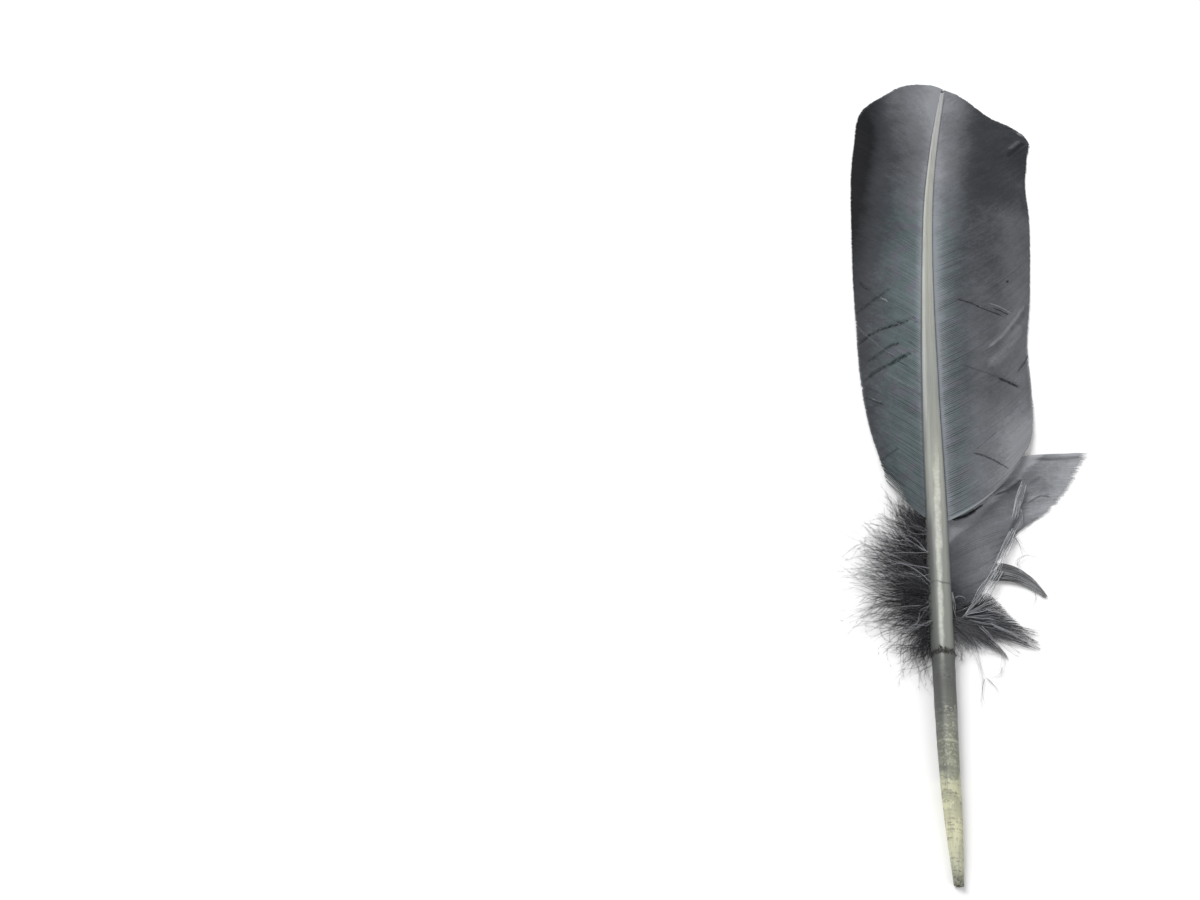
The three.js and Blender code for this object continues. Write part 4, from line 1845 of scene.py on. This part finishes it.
LEFT_WEB = (
    Sheet(((-12.8, -47.5), (-12.4, -58.0)), ((-16.5, -45.5), (-18.5, -56.5)),
          ((-20.5, -38.5), (-24.0, -43.0), (-28.0, -49.0)),
          (3.2, 2.4, 1.4), 100),
    Sheet(((-12.4, -57.0), (-12.0, -68.0)), ((-19.0, -56.0), (-20.0, -66.0)),
          ((-28.0, -48.5), (-31.0, -57.0), (-31.0, -66.0)),
          (3.0, 2.4, 1.2), 110),
    Sheet(((-12.0, -67.0), (-11.4, -77.5)), ((-19.5, -66.5), (-17.5, -76.5)),
          ((-31.0, -66.0), (-29.0, -75.0), (-23.5, -84.0)),
          (2.8, 2.0, 1.0), 110),
    Sheet(((-11.5, -76.5), (-11.2, -83.5)), ((-16.0, -77.5), (-12.6, -86.5)),
          ((-23.5, -84.0), (-19.0, -89.0), (-14.5, -93.0)),
          (2.6, 1.6, 0.8), 70),
)
LEFT_CURLS = (
    Tuft(-50.5, (-14.0, -44.0), (-24.0, -42.5), 3.6, 7, 1.6),
    Tuft(-56.5, (-19.0, -49.0), (-27.0, -50.5), 3.8, 8, 1.8),
    Tuft(-62.0, (-19.0, -62.5), (-30.5, -57.5), 3.8, 9, 2.0),
    Tuft(-67.0, (-23.0, -60.5), (-31.0, -69.5), 3.6, 9, 2.0),
    Tuft(-72.5, (-19.0, -74.0), (-28.5, -76.5), 3.4, 8, 1.8),
    Tuft(-78.0, (-18.0, -75.0), (-21.5, -87.5), 3.0, 6, 1.6),
)
RIGHT_LOCKS = (
    Sheet(((-5.8, -71.0), (-5.6, -74.6)), ((-1.0, -69.4), (0.5, -71.6)), ((4.6, -64.8), (6.6, -66.0)),
          (2.6, 2.0, 1.2), 50),
    Sheet(((-5.2, -74.6), (-5.2, -76.2)), ((8.0, -72.6), (7.0, -75.4)), ((19.4, -75.2), (18.4, -76.0)),
          (3.0, 1.9, 0.8), 26),
    Sheet(((-5.2, -75.0), (-5.2, -76.6)), ((10.0, -72.6), (8.0, -76.0)), ((19.1, -78.2), (18.6, -78.6)),
          (3.0, 1.8, 0.6), 30),
    Sheet(((-5.2, -75.4), (-5.2, -77.2)), ((7.6, -75.0), (6.2, -78.0)), ((19.6, -80.1), (19.0, -80.4)),
          (2.8, 1.6, 0.5), 34),
    Sheet(((-5.2, -75.8), (-5.1, -78.0)), ((5.8, -76.2), (3.0, -78.8)), ((10.5, -84.2), (9.9, -84.6)),
          (2.8, 1.5, 0.4), 34),
    Sheet(((-5.2, -75.6), (-5.0, -79.0)), ((3.0, -76.4), (-1.4, -80.2)),
          ((10.6, -78.6), (5.6, -81.2), (1.6, -82.4), (-0.8, -82.6)),
          (2.8, 1.5, 0.5), 70),
)
RIGHT_WEB = (
    Sheet(((-5.4, -73.4), (-5.2, -76.0)), ((1.5, -70.4), (4.6, -75.0)),
          ((5.6, -64.8), (6.8, -65.9), (9.5, -68.7), (11.9, -71.7), (15.2, -74.5)),
          (2.8, 2.0, 1.0), 190),
)
RIGHT_STRANDS = (
    Sheet(((-3.0, -74.6), (-2.0, -73.8)), ((1.4, -70.0), (2.6, -71.8)), ((8.2, -66.4), (9.8, -68.4)),
          (3.6, 3.2, 2.6), 8),
    Sheet(((-2.9, -74.8), (-2.1, -74.0)), ((0.4, -69.2), (1.6, -70.0)), ((2.4, -64.6), (4.6, -64.8)),
          (3.6, 3.4, 3.0), 7),
    Sheet(((-3.0, -74.8), (-2.6, -74.0)), ((2.4, -72.8), (2.8, -74.4)), ((8.4, -72.4), (9.2, -74.0)),
          (3.6, 3.2, 2.8), 6),
    Sheet(((-1.6, -75.4), (-1.0, -74.6)), ((2.8, -75.4), (3.4, -76.6)), ((6.6, -73.8), (7.2, -75.2)),
          (3.4, 3.0, 2.8), 5),
    Sheet(((1.4, -76.8), (2.6, -76.2)), ((5.4, -78.6), (6.6, -79.6)), ((9.6, -84.4), (10.2, -84.9)),
          (3.0, 2.4, 1.2), 5),
    Sheet(((3.2, -70.8), (4.0, -71.8)), ((8.0, -70.2), (8.4, -71.6)), ((12.4, -73.0), (13.6, -74.2)),
          (3.2, 2.8, 2.0), 5),
    Sheet(((4.6, -75.0), (5.4, -76.0)), ((10.0, -75.8), (10.4, -77.2)), ((18.8, -79.2), (19.6, -80.0)),
          (2.8, 2.0, 1.2), 5),
    Sheet(((-5.0, -69.3), (-4.7, -69.2)), ((-3.4, -67.2), (-3.2, -67.6)), ((-1.6, -69.5), (-1.4, -69.9)),
          (3.9, 4.0, 3.7), 2),
    Sheet(((-6.2, -67.3), (-5.9, -67.2)), ((-5.3, -71.7), (-5.0, -71.6)), ((-4.6, -76.3), (-4.2, -76.6)),
          (4.6, 4.4, 3.4), 3),
    Sheet(((-4.4, -76.2), (-3.2, -76.2)), ((-1.8, -79.0), (1.0, -79.6)), ((-0.8, -83.8), (6.6, -84.0)),
          (2.8, 1.8, 0.8), 16),
)
RIGHT_HAZE = (
    Tuft(-77.0, (2.5, -78.0), (6.5, -83.2), 1.0, 12, 1.4),
    Tuft(-78.0, (-0.5, -79.5), (2.4, -83.4), 1.0, 12, 1.3),
    Tuft(-79.4, (-2.0, -81.0), (-0.6, -84.6), 1.0, 10, 1.2),
    Tuft(-81.2, (-3.6, -83.0), (-3.0, -86.8), 1.0, 8, 0.9),
    Tuft(-76.6, (6.0, -77.0), (14.0, -82.0), 1.0, 10, 1.3),
    Tuft(-75.6, (8.0, -75.0), (19.5, -77.4), 1.0, 8, 1.3),
)


def vanes(shaft: Shaft) -> tuple[Vane, ...]:
    """The two vanes, and the panel that a tear has parted from the right one.

    Args:
        shaft: The shaft that they grow from.

    Returns:
        The pieces, in order.
    """
    left = Vane(
        "left_vane_barbs",
        "left_vane",
        shaft,
        Side.LEFT,
        root=(-46.0, 141.4),
        margin=LEFT_MARGIN,
        finish=LEFT_FINISH,
        barbs=260,
        frayed=0.07,
        seed=11,
        tears=(Tear(0.178, 0.9, 0.45), Tear(0.975, 0.8, 0.6, 0.01)),
        folds=(
            Fold(((-34.0, 19.1), (-27.3, 22.8), (-18.6, 26.2)), -0.3, 0.9),
            Fold(((-31.8, 3.9), (-23.6, 9.0), (-18.1, 12.6)), -0.3, 0.9),
            Fold(((-34.7, 27.9), (-25.3, 13.4)), 0.3, 0.9),
        ),
    )
    right = Vane(
        "right_vane_barbs",
        "right_vane",
        shaft,
        Side.RIGHT,
        root=(-46.0, 141.4),
        margin=RIGHT_MARGIN,
        finish=RIGHT_FINISH,
        barbs=260,
        frayed=0.004,
        seed=12,
        angles=(58.0, 28.0),
        margin_lift=2.2,
        sweep=0.08,
        tears=(Tear(0.175, 0.8, 0.7), Tear(0.62, 0.4, 0.8), Tear(0.7, 0.5, 0.75, 0.012, 0.5)),
        folds=(
            Fold(((17.5, 112.6), (22.8, 120.3)), 0.4, 1.3),
            Fold(((20.8, 124.9), (25.9, 124.1)), 0.25, 1.2),
            Fold(((21.0, 43.4), (11.2, 24.7), (5.4, 17.4)), 0.4, 1.2),
            Fold(((19.0, 34.1), (11.5, 18.4), (5.2, 10.0)), 0.4, 2.6),
            Fold(((1.0, 36.3), (13.3, 33.9)), -0.3, 0.9),
            Fold(((8.6, 8.5), (17.3, 8.1)), -0.5, 0.9),
        ),
    )
    panel = Vane(
        "torn_panel_barbs",
        "torn_panel",
        shaft,
        Side.RIGHT,
        root=(-71.5, -42.8),
        margin=PANEL_MARGIN,
        finish=PANEL_FINISH,
        barbs=150,
        frayed=0.1,
        seed=13,
        hang=Hang.DRAPED,
        locks=9,
        angles=(70.0, 29.5),
        turn_from=0.0,
        bends=(0.5, 0.7),
        root_height=0.8,
        droop=1.8,
        serration=0.3,
        raggedness=0.45,
        fringe=0.07,
        fringe_width=0.12,
        ripple=0.6,
        folds=(
            Fold(((6.8, -33.2), (16.8, -25.1)), 0.9, 1.5),
            Fold(((16.4, -34.5), (22.0, -30.1), (25.7, -30.3)), 0.5, 1.2),
            Fold(((17.7, -17.0), (31.0, -14.8), (37.0, -13.2)), 0.7, 1.2),
        ),
    )
    return left, right, panel


def torn_locks() -> tuple[Locks, ...]:
    """The locks and hairs that have come loose on the torn panel and below it.

    Returns:
        The pieces, in order.
    """
    pointed = Locks(
        "pointed_lock",
        POINTED_LOCK,
        FluffFinish("pointed_lock_barbs", (40, 41, 44), (168, 169, 172)),
        radius=0.09,
        uneven=0.24,
        wave=0.1,
        shortest=0.9,
        seed=31,
        slot=Slot.VANE,
    )
    folded = Locks(
        "folded_rami",
        FOLDED_RAMI,
        FluffFinish("folded_rami_barbs", (104, 105, 109), (216, 217, 220), 0.6),
        radius=0.11,
        uneven=0.22,
        wave=0.3,
        shortest=0.6,
        seed=32,
        slot=Slot.VANE,
    )
    hairs = Locks(
        "loose_hairs",
        LOOSE_HAIRS,
        FluffFinish("loose_hair_barbs", (104, 105, 109), (190, 191, 195)),
        radius=0.035,
        uneven=0.24,
        wave=0.4,
        shortest=0.92,
        seed=33,
    )
    return pointed, folded, hairs


def left_down(shaft: Shaft) -> tuple[Plumes | Locks, ...]:
    """The tangled down left of the shaft: fluff, a dense dark web and pale curls.

    Args:
        shaft: The shaft that it grows from.

    Returns:
        The pieces, in order.
    """
    fluff = Plumes(
        "left_down_fluff",
        shaft,
        Side.LEFT,
        LEFT_TUFTS,
        FluffFinish("down_fluff", (12, 13, 15), (80, 81, 86)),
        ramus_radius=0.06,
        barbule_radius=0.02,
        barbule_length=(0.7, 2.4),
        barbules=58,
        wave=2.4,
        tousle=3.4,
        seed=21,
        curl=4.0,
        nodes=("left_down",),
        barbule_steps=3,
    )
    web = Locks(
        "left_down_web",
        LEFT_WEB,
        FluffFinish("dark_down", (6, 7, 9), (58, 59, 64)),
        radius=0.1,
        uneven=1.5,
        wave=2.0,
        shortest=0.35,
        seed=27,
    )
    curls = Plumes(
        "left_down_curls",
        shaft,
        Side.LEFT,
        LEFT_CURLS,
        FluffFinish("down_curls", (96, 97, 101), (176, 177, 182)),
        ramus_radius=0.1,
        barbule_radius=0.018,
        barbule_length=(0.3, 1.2),
        barbules=24,
        wave=3.2,
        tousle=4.6,
        seed=24,
        curl=7.0,
    )
    return fluff, web, curls


def right_down(shaft: Shaft) -> tuple[Plumes | Locks, ...]:
    """The combed down right of the shaft: locks, the web between them, pale strands and a haze of fluff.

    Args:
        shaft: The shaft that it grows from.

    Returns:
        The pieces, in order.
    """
    fluff = Locks(
        "right_down_fluff",
        RIGHT_LOCKS,
        FluffFinish("combed_down", (12, 13, 15), (104, 105, 109)),
        radius=0.09,
        uneven=0.22,
        wave=0.3,
        shortest=0.72,
        seed=22,
        nodes=("right_down",),
    )
    web = Locks(
        "right_down_web",
        RIGHT_WEB,
        FluffFinish("combed_web", (10, 11, 13), (88, 89, 93)),
        radius=0.09,
        uneven=0.12,
        wave=0.1,
        shortest=0.97,
        seed=26,
    )
    strands = Locks(
        "right_down_strands",
        RIGHT_STRANDS,
        FluffFinish("down_strands", (92, 93, 97), (188, 189, 194)),
        radius=0.1,
        uneven=0.16,
        wave=0.35,
        shortest=0.7,
        seed=23,
    )
    haze = Plumes(
        "right_down_haze",
        shaft,
        Side.RIGHT,
        RIGHT_HAZE,
        FluffFinish("down_haze", (60, 61, 65), (140, 141, 146)),
        ramus_radius=0.05,
        barbule_radius=0.016,
        barbule_length=(0.5, 2.0),
        barbules=44,
        wave=0.6,
        tousle=0.6,
        seed=25,
        barbule_steps=3,
    )
    return fluff, web, strands, haze


def main() -> None:
    """Builds the feather and its studio, and reports each piece."""
    logging.basicConfig(level=logging.INFO, format="%(name)s: %(message)s")
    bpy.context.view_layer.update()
    LOG.info("frame of %d nodes", len(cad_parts))
    Studio().build()
    shaft = Shaft()
    for part in (shaft, *vanes(shaft), *torn_locks(), *left_down(shaft), *right_down(shaft)):
        part.build()


if __name__ == "__main__":
    main()
